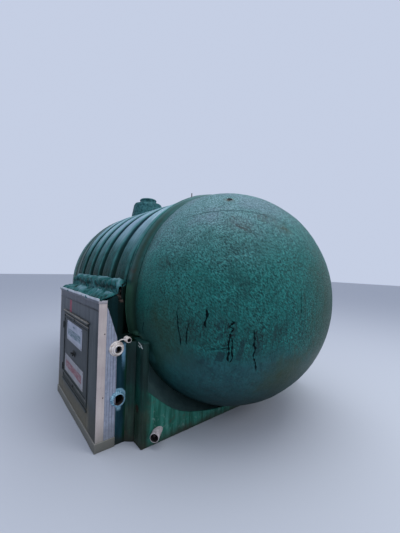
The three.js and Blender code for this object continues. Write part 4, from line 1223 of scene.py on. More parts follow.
def base_finish():
    """Mint-green gelcoat: pale streaks and chips, emerald between, muddy below, darker by the posts with
    tints and painted shade, and a hole in painted shade.
    """
    paint, point = new_finish("base_gelcoat")
    x, y, z = point.axes()
    wander = point.noise(5, 4) - 0.5
    mottle = point.noise(11, 6, 0.7).rise(0.3, 0.7)
    runs = drips(point, 24, 0.45).rise(0.38, 0.68)
    fine_runs = drips(point, 70, 0.3).rise(0.45, 0.7)
    fibres = point.noise(95, 4, 0.7)
    paint.base(runs, (0.004, 0.078, 0.05), (0.02, 0.162, 0.118))
    paint(fine_runs * 0.5, (0.06, 0.215, 0.175))
    pale = point.noise(15, 5, 0.7, 1).rise(0.56, 0.68)
    paint(pale * 0.60, (0.155, 0.27, 0.23))
    # The post by the house: olive, emerald and slate tints with painted shade.
    side_tint_and_shade = (x + wander * 0.09 + (mottle - 0.5) * 0.02).rise(-0.985, -1.045)
    side_tint_and_shade = side_tint_and_shade * (y + wander * 0.1).rise(0.2, -0.3)
    olive = blend(runs, (0.01, 0.02, 0.012), (0.022, 0.048, 0.03))
    emerald = blend(runs, (0.0005, 0.022, 0.015), (0.002, 0.044, 0.03))
    slate = blend(runs, (0.001, 0.011, 0.009), (0.004, 0.024, 0.02))
    side_tone = blend((z + wander * 0.10).rise(0.31, 0.38), olive, emerald)
    side_tone = blend((z + wander * 0.06).rise(0.49, 0.57), side_tone, slate)
    # Painted shade darkens the post just under the band; painted light lightens its top face.
    side_tone = blend(z.rise(0.8, 0.93), side_tone, (0.006, 0.026, 0.022))
    side_tone = blend(z.rise(0.94, 0.948), side_tone, (0.012, 0.046, 0.04))
    paint(side_tint_and_shade * 0.94, side_tone)
    brown = point.noise(9, 5, 0.7).rise(0.55, 0.7) * z.rise(0.7, 0.1)
    paint(brown * 0.6, (0.05, 0.045, 0.028))
    mud = (z + wander * 0.16).rise(0.1, 0)
    paint(mud * 0.85, (0.03, 0.03, 0.022))
    ragged = point.noise(150, 2).rise(0.34, 0.46) * x.rise(-1.07, -1.08)
    for middle_y, middle_z, half in [(-1.272, 0.926, 0.030), (-1.302, 0.905, 0.018), (-1.255, 0.903, 0.012)]:
        across = y - middle_y
        off = abs(z - middle_z - across * 0.30).rise(0.0065, 0.0035) * abs(across).rise(half + 0.008, half)
        paint(off * ragged, (0.62, 0.66, 0.62))
    # A hole painted on the side wall: near-black and brown painted shade, dented by the bump.
    hole = near(point, (-1.088, -1.250, 0.334), (0.05, 0.034, 0.040)).rise(1.05, 0.75)
    paint(hole * 0.95, blend(mottle, (0.004, 0.003, 0.003), (0.03, 0.014, 0.008)))
    height = fibres * 0.8 + mottle + runs * 0.4 - hole * 3
    return paint.dress(0.42 + mud * 0.35 + pale * 0.15, height, 0.5, 0.004, SATIN)


def hollow_finish():
    """The dark plain skin in the hollow: slate, a little purple, with damp streaks."""
    paint, point = new_finish("hollow_skin")
    mottle = point.noise(9, 5, 0.65).rise(0.3, 0.7)
    runs = drips(point, 30, 0.5).rise(0.4, 0.7)
    paint.base(mottle, (0.038, 0.082, 0.078), (0.062, 0.115, 0.106))
    paint(runs * 0.4, (0.02, 0.046, 0.052))
    return paint.dress(0.6, mottle + point.noise(90, 3), 0.4, 0.003)


base_gelcoat = base_finish()
for node in ["base_front_plate", "base_rear_plate", "base_right_wall", "base_left_wall", "right_shoulder",
             "left_shoulder", "corner_sheet"]:
    reworked(node, base_gelcoat, edge=0.005, cell=0.07, press=0.0022,
             towards=(-0.62, -0.78, 0) if node == "corner_sheet" else None, seed=len(node))


# %% Fairings in the hollows
PLATE_EDGE = [(0, 0.046), (0.283, 0.080), (0.528, 0.122), (0.728, 0.172), (0.913, 0.256), (1.084, 0.390),
              (1.212, 0.508)]
POST_TOP = 0.934
FAIRING_THICKNESS = 0.008


def fairing_sheet(flip, rows=14):
    """From the plate's edge in to the dome's root: each row is part of the way across and sags a little."""
    outer = smooth_line(PLATE_EDGE, 8) - [0, 0.002]
    climb = np.linspace(outer[-1, 1], POST_TOP, 14)[1:]
    outer = np.vstack([outer, np.stack([0 * climb + outer[-1, 0], climb], -1)])
    turn = np.arctan2(outer[:, 0], AXIS_Z - outer[:, 1])
    root = DOME_RADIUS + 0.001
    turn *= math.acos((AXIS_Z - POST_TOP) / root) / turn[-1]
    inner = np.stack([root * np.sin(turn), AXIS_Z - root * np.cos(turn)], -1)
    outer, inner = (np.vstack([line[:0:-1] * [-1, 1], line]) for line in (outer, inner))
    share = np.linspace(0, 1, rows)[:, None, None]
    flat = outer + (inner - outer) * share
    sag = 0.006 * np.sin(math.pi * share[..., 0])
    flat = flat + unit(flat - [0, AXIS_Z]) * sag[..., None]
    near_y, far_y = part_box("front_fairing")[0].y, FRONT_Y - GAP
    y = near_y + (far_y - near_y) * share[..., 0] + 0 * flat[..., 0]
    return np.stack([AXIS_X + flat[..., 0], flip * y, flat[..., 1]], -1)


hollow_skin = hollow_finish()
for end, flip in [("front", 1), ("rear", -1)]:
    sheet = thick_sheet(fairing_sheet(flip), -FAIRING_THICKNESS * flip)
    piece(f"{end}_hollow_skin", [sheet], hollow_skin, stands_for=[f"{end}_fairing"])

# %% [markdown]
# ## The valve house
# The near end wall is green glass fibre. Bluish water marks run down from the upper pipe, a
# ragged pale-blue ring was painted round the lower sleeve, and the side by the tank is olive
# with algae. The panel is painted sheet, purple-grey, muddy near the ground, and it has one
# faded red stroke. All of these places are given in the frame's own metres.

# %% House finishes
UPPER_PIPE = (-1.2588, 0.885)
SMALL_PIPE = (-1.1668, 0.961)
LOWER_PIPE = (-1.2368, 0.427)
WALL_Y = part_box("near_end_wall")[0].y


def house_wall_finish():
    """Dark blue-green on the house side, olive by the tank, a light-blue run and a ragged painted ring, with
    painted shade under the roof, darkest by the tank.
    """
    paint, point = new_finish("house_wall_gelcoat")
    x, y, z = point.axes()
    wander = point.noise(7, 4) - 0.5
    ragged = point.noise(38, 5, 0.7) - 0.5
    mottle = point.noise(18, 5, 0.7).rise(0.3, 0.7)
    runs = drips(point, 40, 0.5).rise(0.4, 0.7)
    blue = blend(runs, (0.006, 0.03, 0.045), (0.016, 0.058, 0.078))
    olive = blend(runs, (0.0015, 0.022, 0.003), (0.006, 0.042, 0.008))
    towards_tank = (x + wander * 0.06).rise(-1.205, -1.14)
    paint.base(towards_tank, blue, olive)
    paint(mottle * 0.25, (0.004, 0.03, 0.028))
    # Painted shade: the wall is darker under the roof's overhang.
    above = (z + wander * 0.1).rise(0.92, 1)
    paint(above * 0.85, blend(runs, (0.001, 0.012, 0.011), (0.003, 0.026, 0.024)))
    # Painted shade: nearly black where the wall meets the tank under the roof.
    sheltered_shade = (x + wander * 0.02).rise(-1.262, -1.248) * above
    paint(sheltered_shade * 0.90, (0.0012, 0.0062, 0.0046))
    front = y.rise(WALL_Y + 0.02, WALL_Y + 0.002)
    streak = abs(x + 1.185 + wander * 0.01 + ragged * 0.012).rise(0.026, 0.006)
    streak = streak * (z + ragged * 0.10).rise(0.66, 0.86) * z.rise(0.935, 0.9)
    paint(streak * front * (0.60 + mottle * 0.32), (0.26, 0.52, 0.72))
    off_pipe = off_axis(x, z, LOWER_PIPE)
    ring = (off_pipe + ragged * 0.02).rise(0.094, 0.082)
    drip_below = abs(x + 1.222 + ragged * 0.02).rise(0.03, 0.008) * z.rise(0.3, 0.335) * z.rise(0.4, 0.36)
    paint(ring.atleast(drip_below) * front * 0.9, blend(mottle, (0.15, 0.34, 0.46), (0.34, 0.56, 0.66)))
    bore = off_pipe.rise(0.052, 0.05)
    paint(bore * 0.98, (0.008, 0.004, 0.003))
    mud = (z + wander * 0.1).rise(0.1, 0.02)
    paint(mud * 0.8, (0.022, 0.026, 0.02))
    near_top = near(point, (-1.23, WALL_Y, 1.28), (0.05, 0.2, 0.07)).rise(1.1, 0.7)
    paint(point.noise(16, 5, 0.7).rise(0.56, 0.68) * near_top * 0.8, (0.06, 0.03, 0.018))
    height = point.noise(90, 4, 0.7) + mottle + runs * 0.4
    return paint.dress(0.55 + mud * 0.3, height, 0.45, 0.003, DAMP)


def panel_finish():
    """Faded grey paint: a little purple, streaked, muddy near the ground, with one faded red stroke and a
    painted shadow under the lap.
    """
    paint, point = new_finish("panel_paint")
    _, y, z = point.axes()
    wander = point.noise(4, 4) - 0.5
    broad = point.noise(2.5, 4).rise(0.35, 0.65)
    streaks = drips(point, 30, 0.5).rise(0.35, 0.7)
    specks = point.noise(160, 3, 0.7).rise(0.62, 0.7)
    paint.base(broad, (0.021, 0.032, 0.038), (0.032, 0.042, 0.049))
    paint(streaks * 0.35, (0.02, 0.027, 0.032))
    upper = (z + wander * 0.15).rise(0.98, 1.18)
    far_end = (y + wander * 0.2).rise(-0.05, 0.15)
    paint(upper.atleast(far_end) * 0.75, (0.062, 0.072, 0.084))
    green = near(point, (-1.42, -0.45, 0.62), (0.5, 0.75, 0.5)).rise(1.1, 0.5)
    paint(green * 0.35, (0.042, 0.058, 0.056))
    top = (z + wander * 0.05).rise(1.225, 1.25)
    paint(top * 0.5, (0.092, 0.098, 0.12))
    worn = point.noise(45, 4, 0.7).rise(0.35, 0.6)
    stroke = abs(y + 0.198 + wander * 0.02 + (worn - 0.5) * 0.008).rise(0.048, 0.038)
    stroke = stroke * z.rise(1.08, 1.095) * z.rise(1.235, 1.225)
    paint(stroke * (0.68 + worn * 0.30), (0.27, 0.016, 0.05))
    # Painted shadow: a dark line under the lap of the two sheets.
    lap = z.rise(1.2255, 1.2275) * z.rise(1.2365, 1.235) * (y + wander * 0.1).rise(0.1, -0.15)
    paint(lap * 0.85, (0.006, 0.008, 0.01))
    mud = (z + wander * 0.30).rise(0.42, 0.12)
    splash = point.noise(55, 5, 0.75).rise(0.45, 0.65)
    near_end = y.rise(-0.9, -0.98)
    paint(mud * (0.60 + splash * 0.4) * (1 - near_end * 0.6), (0.155, 0.136, 0.088))
    paint(specks * 0.4, (0.022, 0.024, 0.026))
    dents = point.noise(3.5, 2)
    return paint.dress(0.48 + mud * 0.3 + streaks * 0.1, dents * 6 + specks * 0.2, 0.35, 0.002, metallic=0.1)


def trim_finish():
    """Chalky beige paint on folded sheet, with pinkish rubs, dirt and a few dark chips."""
    paint, point = new_finish("beige_paint")
    z = point.axes()[2]
    wander = point.noise(6, 4) - 0.5
    streaks = drips(point, 60, 0.35).rise(0.35, 0.7)
    broad = point.noise(5, 4).rise(0.35, 0.65)
    chips = point.noise(70, 4, 0.75).rise(0.66, 0.7)
    paint.base(broad, (0.5, 0.42, 0.4), (0.6, 0.52, 0.48))
    paint(streaks * 0.4, (0.4, 0.34, 0.32))
    dirt = (z + wander * 0.15).rise(0.32, 0.05)
    paint(dirt * 0.65, (0.17, 0.165, 0.13))
    low = z.rise(0.088, 0.08)
    paint(low * 0.72, (0.07, 0.08, 0.066))
    upper_edge = z.rise(0.08, 0.0825) * z.rise(0.0862, 0.085)
    paint(upper_edge * (0.3 + broad * 0.5), (0.3, 0.3, 0.26))
    paint(chips * 0.7, (0.12, 0.085, 0.06))
    return paint.dress(0.55 + dirt * 0.25, streaks * 0.3 + point.noise(40, 3) + chips * -0.6, 0.3, 0.0015)


def flashing_finish():
    """Weathered bare metal: a bright blue-grey upper edge, a dull grey face below, old beige at the end."""
    paint, point = new_finish("pale_flashing")
    _, y, z = point.axes()
    wander = point.noise(14, 4) - 0.5
    broad = point.noise(9, 4).rise(0.35, 0.65)
    upper = (z + wander * 0.006).rise(1.3195, 1.3245)
    paint.base(broad, (0.088, 0.096, 0.12), (0.13, 0.138, 0.165))
    paint(upper, blend(broad, (0.4, 0.44, 0.48), (0.56, 0.6, 0.64)))
    paint(y.rise(-1.1505, -1.1515) * z.rise(1.324, 1.32), (0.36, 0.33, 0.345))
    return paint.dress(0.55, broad + wander, 0.3, 0.002)


def galvanised_finish():
    """Dull zinc: bluish spangle, vertical streaks and a grey film of dirt."""
    paint, point = new_finish("galvanised_sheet")
    z = point.axes()[2]
    spangle = point.cell_tones(55)
    streaks = drips(point, 90, 0.4).rise(0.35, 0.7)
    broad = point.noise(6, 4).rise(0.35, 0.65)
    paint.base(spangle, (0.29, 0.32, 0.4), (0.39, 0.425, 0.51))
    paint(streaks * 0.45, (0.225, 0.245, 0.31))
    paint(broad * 0.25, (0.43, 0.44, 0.5))
    dirt = (z + (broad - 0.5) * 0.1).rise(0.25, 0.09)
    paint(dirt * 0.4, (0.17, 0.175, 0.17))
    rust = point.noise(80, 4, 0.75).rise(0.69, 0.72)
    paint(rust * 0.8, (0.13, 0.05, 0.022))
    height = spangle * 0.3 + streaks * 0.3
    return paint.dress(0.45 + streaks * 0.2 + dirt * 0.2, height, 0.15, 0.001, metallic=0.45)


house_wall_gelcoat = house_wall_finish()
panel_paint = panel_finish()
beige_paint = trim_finish()
reworked("near_end_wall", house_wall_gelcoat, press=0.0018, seed=31)
reworked("far_end_wall", house_wall_gelcoat, edge=0.004, press=0.0022, seed=32)
reworked("return_wall", house_wall_gelcoat)
for node in ["panel_near", "panel_far", "panel_under", "panel_over", "panel_header"]:
    reworked(node, panel_paint, edge=0.0022, cell=0.09, press=0.0012, length=0.4, seed=3)
reworked("top_flashing", flashing_finish(), edge=0.0015, press=0.0012, length=0.2, towards=Z,
         seed=15)
for node in ["near_corner_trim", "far_corner_trim", "panel_sill", "near_sill", "far_sill"]:
    reworked(node, beige_paint, press=0.0012, length=0.2, seed=len(node) + 3)

# %% [markdown]
# The strip beside the corner trim is corrugated zinc-coated sheet, cut on a slant at its top.
# Its flutes are a cosine across the strip, so one formula gives the whole sheet: the height
# goes from the sill up to the slanting edge, and the depth follows the cosine.

# %% Fluted strip
STRIP_FLUTES = 4
STRIP_DEPTH, STRIP_THICKNESS = 0.0052, 0.001
STRIP_BEND, STRIP_TOP = 0.975, 1.262
strip_low, strip_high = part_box("corrugated_strip")


def fluted_sheet(columns=97, rows=40):
    """Depth goes as a flattened cosine over the width, from the sill up to the slanting top edge."""
    across, up = np.meshgrid(np.linspace(0, 1, columns), np.linspace(0, 1, rows))
    slant = np.clip((across - 0.05) / 0.95, 0, 1)
    top = STRIP_TOP + (STRIP_BEND - STRIP_TOP) * slant
    wave = np.cos(2 * math.pi * STRIP_FLUTES * across)
    wave = 0.5 - 0.5 * np.sign(wave) * np.abs(wave) ** 0.6
    x = strip_low.x + 0.0005 + (strip_high.x - strip_low.x - 0.001) * across
    z = strip_low.z + (top - strip_low.z) * up
    y = strip_high.y - 0.0022 - (STRIP_DEPTH - 0.0008) * wave + 0.0005 * np.sin(7 * z + 9 * x)
    return np.stack([x, y, z], -1)


piece("fluted_strip", [thick_sheet(fluted_sheet(), STRIP_THICKNESS)], galvanised_finish(),
      stands_for=["corrugated_strip"], sharp=50)

# %% [markdown]
# ## Pipes
# Each pipe is a closed profile turned about its own level axis: out along the bore, round the
# mouth, and back over the outside with its rims. The upper one is an old plastic flange of two
# rings. The small one beside it is held to it by a strap. The lower sleeve was painted pale
# blue with a brush, and its bore is rusty.

# %% Pipe finishes
STUB_ROOT = np.array([-0.9238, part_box("base_front_plate")[0].y, 0.114])
STUB_AXIS = np.array([-1, -1, 0]) * math.sin(math.radians(45))


def plastic_finish():
    """Yellowed plastic: warm dirt in streaks, black painted shade in the bores, and pale scuffs."""
    paint, point = new_finish("old_plastic")
    x, y, z = point.axes()
    dirt = point.noise(28, 5, 0.7).rise(0.42, 0.66)
    scuffs = point.scaled((40, 40, 140)).noise(1, 4, 0.7).rise(0.6, 0.7)
    paint.base(dirt, (0.86, 0.79, 0.73), (0.56, 0.47, 0.4))
    paint(scuffs * 0.5, (0.9, 0.87, 0.84))
    from_flange = off_axis(x, z, UPPER_PIPE)
    for ring in (0.0455, 0.0580):
        paint(abs(from_flange - ring).rise(0.0022, 0.001) * 0.65, (0.08, 0.055, 0.04))
    # Painted shade: both pipes are black inside their bores.
    for place, bore, front in [(UPPER_PIPE, 0.0345, WALL_Y - 0.050), (SMALL_PIPE, 0.0205, WALL_Y - 0.076)]:
        inside = off_axis(x, z, place).rise(bore, bore - 0.003) * y.rise(front, front + 0.008)
        paint(inside * 0.97, (0.006, 0.006, 0.007))
    return paint.dress(0.48 + dirt * 0.3, dirt * 0.4 + scuffs * 0.3, 0.3, 0.0015)


def painted_sleeve_finish():
    """Brushed pale-blue paint with gaps, and a bore of dark rust."""
    paint, point = new_finish("painted_sleeve")
    x, _, z = point.axes()
    brush = point.scaled((60, 20, 60)).noise(1, 5, 0.7).rise(0.42, 0.58)
    paint.base(brush, (0.09, 0.23, 0.33), (0.33, 0.56, 0.67))
    gaps = point.noise(60, 4, 0.7).rise(0.6, 0.66)
    paint(gaps * 0.8, (0.02, 0.05, 0.06))
    inside = off_axis(x, z, LOWER_PIPE).rise(0.0492, 0.0478)
    rust = point.noise(35, 5, 0.7).rise(0.4, 0.65)
    paint(inside * 0.98, blend(rust, (0.006, 0.004, 0.003), (0.06, 0.022, 0.01)))
    return paint.dress(0.6, brush * 0.5 + gaps * -0.5 + rust * 0.2, 0.4, 0.002)


def stub_finish():
    """Pinkish white plastic, weathered in patches, black inside as painted shade."""
    paint, point = new_finish("stub_plastic")
    x, y, z = point.axes()
    patches = point.noise(24, 5, 0.7).rise(0.4, 0.66)
    rings = point.noise(70, 4, 0.7).rise(0.55, 0.68)
    paint.base(patches, (0.56, 0.5, 0.5), (0.33, 0.29, 0.29))
    paint(rings * 0.4, (0.2, 0.16, 0.14))
    sideways = (x - STUB_ROOT[0]) * STUB_AXIS[1] - (y - STUB_ROOT[1]) * STUB_AXIS[0]
    from_axis = (sideways**2 + (z - STUB_ROOT[2]) ** 2) ** 0.5
    # Painted shade: the stub is black inside.
    paint(from_axis.rise(0.0376, 0.0364) * 0.96, (0.01, 0.008, 0.008))
    return paint.dress(0.5 + patches * 0.2, patches * 0.5 + rings * 0.5, 0.35, 0.002)


def bore_finish():
    """Rust and slime inside the stub."""
    paint, point = new_finish("rusty_bore")
    rust = point.noise(40, 5, 0.7).rise(0.4, 0.65)
    paint.base(rust, (0.01, 0.008, 0.007), (0.06, 0.03, 0.018))
    return paint.dress(0.8, rust, 0.5, 0.003)


old_plastic = plastic_finish()
print("pipe finishes ready")

# %% Pipes
face = WALL_Y - GAP
# Profiles of (distance out from the wall or along the stub, radius), and the strap's (x, out, z).
FLANGE = [(0, 0.032), (0, 0.066), (0.004, 0.068), (0.0085, 0.0672), (0.0095, 0.064), (0.0105, 0.064),
          (0.0115, 0.0668), (0.0195, 0.066), (0.0225, 0.0635), (0.024, 0.056), (0.028, 0.0538),
          (0.042, 0.0525), (0.045, 0.0505), (0.0465, 0.046), (0.048, 0.044), (0.053, 0.0425),
          (0.06, 0.041), (0.062, 0.0385), (0.061, 0.0345), (0.056, 0.0325)]
SMALL = [(0, 0.017), (0, 0.0258), (0.006, 0.026), (0.0085, 0.0245), (0.009, 0.0225), (0.058, 0.0222),
         (0.06, 0.0228), (0.069, 0.023), (0.07, 0.0215), (0.0695, 0.018), (0.066, 0.017)]
SLEEVE = [(0, 0.045), (0, 0.0655), (0.005, 0.067), (0.012, 0.0655), (0.018, 0.06), (0.022, 0.0562),
          (0.038, 0.0548), (0.0415, 0.053), (0.042, 0.049), (0.0405, 0.0458), (0.036, 0.045)]
COLLAR = [(0.036, 0.0225), (0.036, 0.0262), (0.038, 0.0272), (0.05, 0.0272), (0.052, 0.0262), (0.052, 0.0225)]
STRAP = [(-1.26, 0.03, 0.947), (-1.235, 0.034, 0.966), (-1.208, 0.04, 0.968), (-1.192, 0.044, 0.96)]
STUB = [(-0.05, 0.036), (-0.05, 0.0412), (0.07, 0.0412), (0.0735, 0.0402), (0.075, 0.0415), (0.102, 0.0416),
        (0.1045, 0.0405), (0.1048, 0.0385), (0.1035, 0.0365), (0.1, 0.0358), (0.02, 0.0358)]
SILT = [(0.012, 0), (0.012, 0.0356), (0.0105, 0.0356), (0.0105, 0)]


def level_turn(profile, place, around, press=0.0, seed=0):
    """A closed profile of (distance out from the wall, radius) turned about a level axis along y."""
    points, outward = spun(profile, (place[0], face, place[1]), -Y, Z, X, around)
    return closed_grid(points + (press * lumps(points, 0.05, seed))[..., None] * outward)


def stub_tube(profile, around=56):
    """A closed profile of (distance along, radius) about the slanting axis, cut off at the plate."""
    points, outward = spun(profile, STUB_ROOT, STUB_AXIS, Z, np.cross(STUB_AXIS, Z), around)
    points = points + (0.0006 * lumps(points, 0.06, 54))[..., None] * outward
    behind = np.maximum(0, points[..., 1:2] - (STUB_ROOT[1] - 0.0006))
    return closed_grid(points + behind / -STUB_AXIS[1] * STUB_AXIS)


strap_line = smooth_line([(x, face - out, z) for x, out, z in STRAP], 8)
strap = carried(strap_line, soft_box_section(0.018, 0.0055, 0.002))
small_parts = [level_turn(SMALL, SMALL_PIPE, 40, 0.0003, 52), level_turn(COLLAR, SMALL_PIPE, 40), strap]
for name, parts, material, node in [
        ("upper_pipe_flange", [level_turn(FLANGE, UPPER_PIPE, 64, 0.0004, 51)], old_plastic, "upper_pipe"),
        ("small_pipe_strap", small_parts, old_plastic, "small_pipe"),
        ("lower_sleeve_painted", [level_turn(SLEEVE, LOWER_PIPE, 64, 0.0012, 53)], painted_sleeve_finish(),
         "lower_sleeve"),
        ("stub_pipe", [stub_tube(STUB)], stub_finish(), "low_stub")]:
    piece(name, parts, material, stands_for=[node])
piece("stub_silt", [stub_tube(SILT)], bore_finish(), sharp=60)

# %% [markdown]
# ## The door
# The leaf is the same painted sheet as the panel. It is stiffened by a rail along its top and
# bottom and a thin frame round it. Two sign plates with round corners are screwed on; their
# places carry only a few plain faded bars. The handle is two knobs and a lever on a plate.

# %% Door finishes
leaf_low, leaf_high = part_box("door_leaf")
leaf_face = leaf_low.x


def sign_finish(name, plate, plain, faded, bar_tone, rows):
    """A faded enamelled plate with a few plain bars of worn colour, dark round its edge and grimy below."""
    paint, point = new_finish(name)
    low, high = corners(plate)
    _, across, up = ((place - start) / (end - start) for place, start, end in zip(point.axes(), low, high))
    wander = point.noise(14, 4) - 0.5
    worn = point.scaled((10, 10, 75)).noise(1, 4, 0.7).rise(0.38, 0.6)
    fade = point.noise(9, 4).rise(0.35, 0.7)
    paint.base(fade, plain, faded)
    for place, tall, start, end in rows:
        bar_height = abs(up - place).rise(tall * 0.5 + 0.02, tall * 0.5 - 0.01)
        bar_width = across.rise(start - 0.01, start + 0.02) * across.rise(end + 0.01, end - 0.02)
        paint(bar_height * bar_width * (0.42 + worn * 0.50), bar_tone)
    streaks = drips(point, 70, 0.3).rise(0.5, 0.75)
    paint(streaks * 0.35, (0.23, 0.25, 0.29))
    edge = abs(across - 0.5).atleast(abs(up - 0.5)).rise(0.47, 0.498)
    paint(edge * 0.6, (0.15, 0.145, 0.15))
    grime_and_shade = (up + wander * 0.4).rise(0.3, 0)
    paint(grime_and_shade * 0.35, (0.2, 0.195, 0.17))
    return paint.dress(0.42 + worn * 0.12 + edge * 0.2, worn * 0.2 + wander, 0.2, 0.001)


def leaf_finish():
    """The panel's faded grey, a little greener and darker, with streaks under the catches and the signs."""
    paint, point = new_finish("leaf_paint")
    z = point.axes()[2]
    wander = point.noise(5, 4) - 0.5
    streaks = drips(point, 36, 0.4).rise(0.35, 0.7)
    broad = point.noise(3, 4).rise(0.35, 0.65)
    specks = point.noise(170, 3, 0.7).rise(0.62, 0.7)
    paint.base(broad, (0.02, 0.028, 0.033), (0.031, 0.039, 0.044))
    paint(streaks * 0.45, (0.016, 0.022, 0.026))
    mud = (z + wander * 0.28).rise(0.5, 0.24)
    paint(mud * 0.70, (0.072, 0.076, 0.062))
    rub = near(point, (-1.43, -0.385, 0.66), (0.1, 0.13, 0.10)).rise(1.05, 0.4)
    paint(rub * 0.45, (0.022, 0.026, 0.03))
    paint(specks * 0.35, (0.016, 0.018, 0.02))
    return paint.dress(0.50 + mud * 0.25, point.noise(4, 2) * 5 + specks * 0.2, 0.3, 0.002, 0.3, 0.1)


def rail_finish():
    """The leaf's paint on its rails, worn to a paler grey along the edges that stand out most."""
    paint, point = new_finish("rail_paint")
    x, _, z = point.axes()
    worn = point.noise(30, 5, 0.7).rise(0.4, 0.6)
    edge = x.rise(leaf_face - 0.0045, leaf_face - 0.0068)
    paint.base(worn, (0.02, 0.028, 0.026), (0.034, 0.04, 0.038))
    top_lines = z.rise(1.0765, 1.0785).atleast(z.rise(1.031, 1.033) * z.rise(1.043, 1.042))
    low_lines = z.rise(0.334, 0.336) * z.rise(0.35, 0.348) * edge
    paint(top_lines * (0.45 + worn * 0.50), (0.24, 0.215, 0.18))
    paint(low_lines * worn * 0.5, (0.16, 0.15, 0.13))
    return paint.dress(0.6, worn, 0.2, 0.001)


def aged_iron_finish():
    """Iron under old dark paint: nearly black, a little green, with small spots of rust."""
    paint, point = new_finish("aged_iron")
    worn = point.noise(40, 5, 0.7).rise(0.4, 0.62)
    spots = point.noise(110, 4, 0.75).rise(0.6, 0.68)
    paint.base(worn, (0.004, 0.007, 0.007), (0.022, 0.028, 0.026))
    paint(spots * 0.8, (0.06, 0.022, 0.01))
    return paint.dress(0.55, worn + spots, 0.4, 0.0008, metallic=0.3)


rail_paint = rail_finish()
aged_iron = aged_iron_finish()
upper_rows = [(0.44, 0.34, 0.08, 0.93), (0.80, 0.07, 0.42, 0.60)]
lower_rows = [(0.50, 0.40, 0.08, 0.94)]
upper_tones = (0.27, 0.295, 0.37), (0.43, 0.455, 0.53), (0.016, 0.085, 0.115)
lower_tones = (0.2, 0.2, 0.215), (0.31, 0.305, 0.325), (0.19, 0.022, 0.038)
upper_sign_paint = sign_finish("upper_sign_enamel", "upper_sign", *upper_tones, upper_rows)
lower_sign_paint = sign_finish("lower_sign_enamel", "lower_sign", *lower_tones, lower_rows)
print("door finishes ready")

# %% Door leaf
for node in ["drip_cap", "door_foot_trim"]:
    reworked(node, rail_paint, edge=0.003, press=0.0008, length=0.2, seed=5)
reworked("door_leaf", leaf_finish(), "door", edge=0.0025, cell=0.08, press=0.001, length=0.35,
         seed=61)

INSET = 0.004
near_y, far_y = leaf_low.y + INSET, leaf_high.y - INSET
level_rails = [(near_y, far_y, z, z + thick, out) for z, thick, out in [
    (leaf_high.z - 0.013, 0.010, 0.007), (leaf_high.z - 0.052, 0.012, 0.009),
    (leaf_low.z + 0.003, 0.010, 0.007), (leaf_low.z + 0.062, 0.012, 0.009)]]
upright_rails = [(y, y + 0.012, leaf_low.z + 0.015, leaf_high.z - 0.015, 0.007)
                 for y in (near_y, far_y - 0.012)]
rails = [bar((leaf_face - out, y0, z0), (leaf_face - 0.0002, y1, z1), 0.003)
         for y0, y1, z0, z1, out in level_rails + upright_rails]
piece("door_rails", rails, rail_paint, "door")


def sign_plate(node, material, radius=0.022, corner_steps=6):
    """A thin plate with round corners, as rings from its middle out and back. Returns its screws' places."""
    low, high = corners(node)
    outline = soft_box_section(high[1] - low[1], high[2] - low[2], radius, corner_steps)
    rings = [(0, 0.0026), (0.5, 0.0026), (0.96, 0.0028), (0.992, 0.0029), (1, 0.0022), (1, 0), (0, 0)]
    points = np.zeros((len(rings), len(outline), 3))
    for row, (share, out) in zip(points, rings):
        row[:, 0] = high[0] - out
        row[:, 1:] = (low + high)[1:] / 2 + outline * share
    piece(node + "_plate", [tube_grid(points)], material, "door", [node], 30)
    (y0, y1), (z0, z1) = ((low[axis] + 0.020, high[axis] - 0.020) for axis in (1, 2))
    return [(high[0] - 0.003, y, z) for y in (y0, y1) for z in (z0, z1)]


screw_places = sign_plate("upper_sign", upper_sign_paint) + sign_plate("lower_sign", lower_sign_paint)
piece("sign_screws", [studs(screw_places, -X, *SIGN_SCREW)], rusty_iron, "door")

# %% Handle and catches
HANDLE = np.array([leaf_face, -0.398, 0.664])
HINGE_RADIUS = 0.007


def knob(y, z, out, radius):
    """A turned knob on a stem, square to the leaf, beside the handle's middle by y and z."""
    foot = [(0, 0), (0, 0.75), (0.004, 0.72), (0.006, 0.42)]
    head = np.multiply([(0.55, 0.40), (0.66, 0.85), (0.80, 1), (0.93, 0.86), (1, 0.4), (1, 0)], (out, 1))
    profile = np.vstack([foot, head]) * (1, radius)
    return tube_grid(spun(profile, HANDLE + (-0.0062, y, z), -X, Z, Y, 20)[0])


reach = leaf_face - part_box("door_handle")[0].x
backing = bar(HANDLE + (-0.0065, -0.042, -0.026), HANDLE + (-0.0006, 0.042, 0.026), 0.004)
knobs = [knob(0.022, 0.002, reach - 0.0065, 0.017), knob(-0.022, -0.004, reach - 0.010, 0.015)]
LEVER = [(-0.024, 0.034, 0.003), (-0.027, 0, 0), (-0.023, -0.033, -0.008)]
lever = carried(smooth_line(np.add(LEVER, HANDLE), 6), soft_box_section(0.007, 0.014, 0.002))
screws = [HANDLE + (-0.0065, y, z) for y in (-0.034, 0.034) for z in (-0.019, 0.019)]
handle_parts = [backing, *knobs, lever, studs(screws, -X, *HANDLE_SCREW)]
piece("handle_knobs", handle_parts, aged_iron, "door", ["door_handle"])


def catch(node):
    """A turn catch: a small plate, a tongue across it and two screws."""
    low, high = corners(node)
    middle = (low + high) / 2
    plate = bar((high[0] - 0.004, *low[1:] + 0.001), (high[0], *high[1:] - 0.001), 0.0015)
    tongue = bar((low[0] + 0.0006, middle[1] - 0.006, low[2] + 0.003),
                 (high[0] - 0.0035, middle[1] + 0.006, high[2] - 0.002), 0.002)
    places = [(high[0] - 0.004, middle[1] + side, middle[2]) for side in (-0.015, 0.015)]
    return [plate, tongue, studs(places, -X, *CATCH_SCREW)]


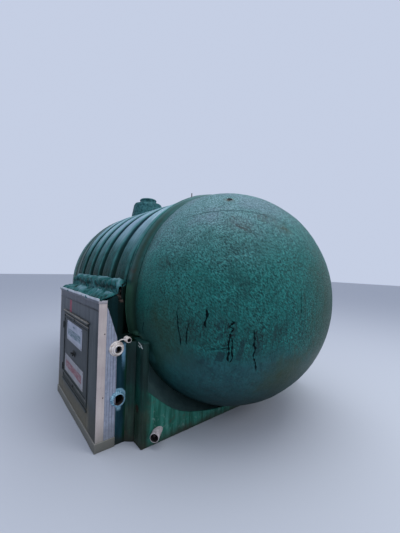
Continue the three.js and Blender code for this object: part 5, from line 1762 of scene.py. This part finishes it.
def hinge_half(node, side):
    """Half a butt hinge: the barrel with rounded ends, the plate with two screws, and the web between."""
    low, high = corners(node)
    foot, top, back = low[2], high[2], high[0]
    start, far = (low[1], high[1]) if side > 0 else (high[1], low[1])
    x, y = low[0] + HINGE_RADIUS, start + side * HINGE_RADIUS
    bottom = [(0, foot), (0.006, foot), (HINGE_RADIUS, foot + 0.001)]
    ends = bottom + [(radius, foot + top - z) for radius, z in bottom[::-1]]
    plate = bar((back - 0.0035, y + side * 0.004, foot + 0.0005), (back, far, top - 0.0005), 0.001)
    web = bar((x + 0.001, y, foot + 0.0005), (back - 0.001, y + side * 0.008, top - 0.0005), 0.001)
    places = [(back - 0.0035, y + side * 0.027, z) for z in (foot + 0.010, top - 0.010)]
    return [upright_turn(ends, (x, y), 20), plate, web, studs(places, -X, *HINGE_SCREW)]


for node in ["top_catch", "bottom_catch"]:
    piece(node + "_turned", catch(node), aged_iron, "door", [node])
for height in ("lower", "upper"):
    for half, side, body in [("post", 1, "drum"), ("leaf", -1, "door")]:
        node = f"{height}_hinge_{half}"
        piece(node + "_half", hinge_half(node, side), aged_iron, body, [node])

# %% [markdown]
# Rivets hold the corner trims, and the panel's two sheets lap over each other in a seam. Their
# places come from the boxes of the trims and of the header above the door.

# %% Rivets and seams
RIVET_HEIGHTS = (0.47, 1.03)
SEAM_HALF = 0.0045
trim_low, trim_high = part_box("near_corner_trim")
trim_x = (trim_low.x + trim_high.x) / 2 + 0.020
far_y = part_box("far_corner_trim")[1].y
near_rivets, far_rivets = ([(trim_x, y, z) for z in RIVET_HEIGHTS] for y in (trim_low.y, far_y))
side_rivets = [(trim_low.x, y, z) for y in (trim_low.y + 0.045, far_y - 0.05) for z in RIVET_HEIGHTS]
rivets = [studs(near_rivets, -Y, *RIVET), studs(far_rivets, Y, *RIVET), studs(side_rivets, -X, *SIDE_RIVET)]
piece("trim_rivets", rivets, rusty_iron)
header_low, header_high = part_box("panel_header")
# The seam bar wears the panel paint's painted shadow line.
seam = bar((header_low.x - 0.0028, header_low.y + 0.002, header_low.z - SEAM_HALF),
           (header_low.x - 0.0002, header_high.y - 0.002, header_low.z + SEAM_HALF), 0.0012)
piece("panel_seam", [seam], panel_paint)
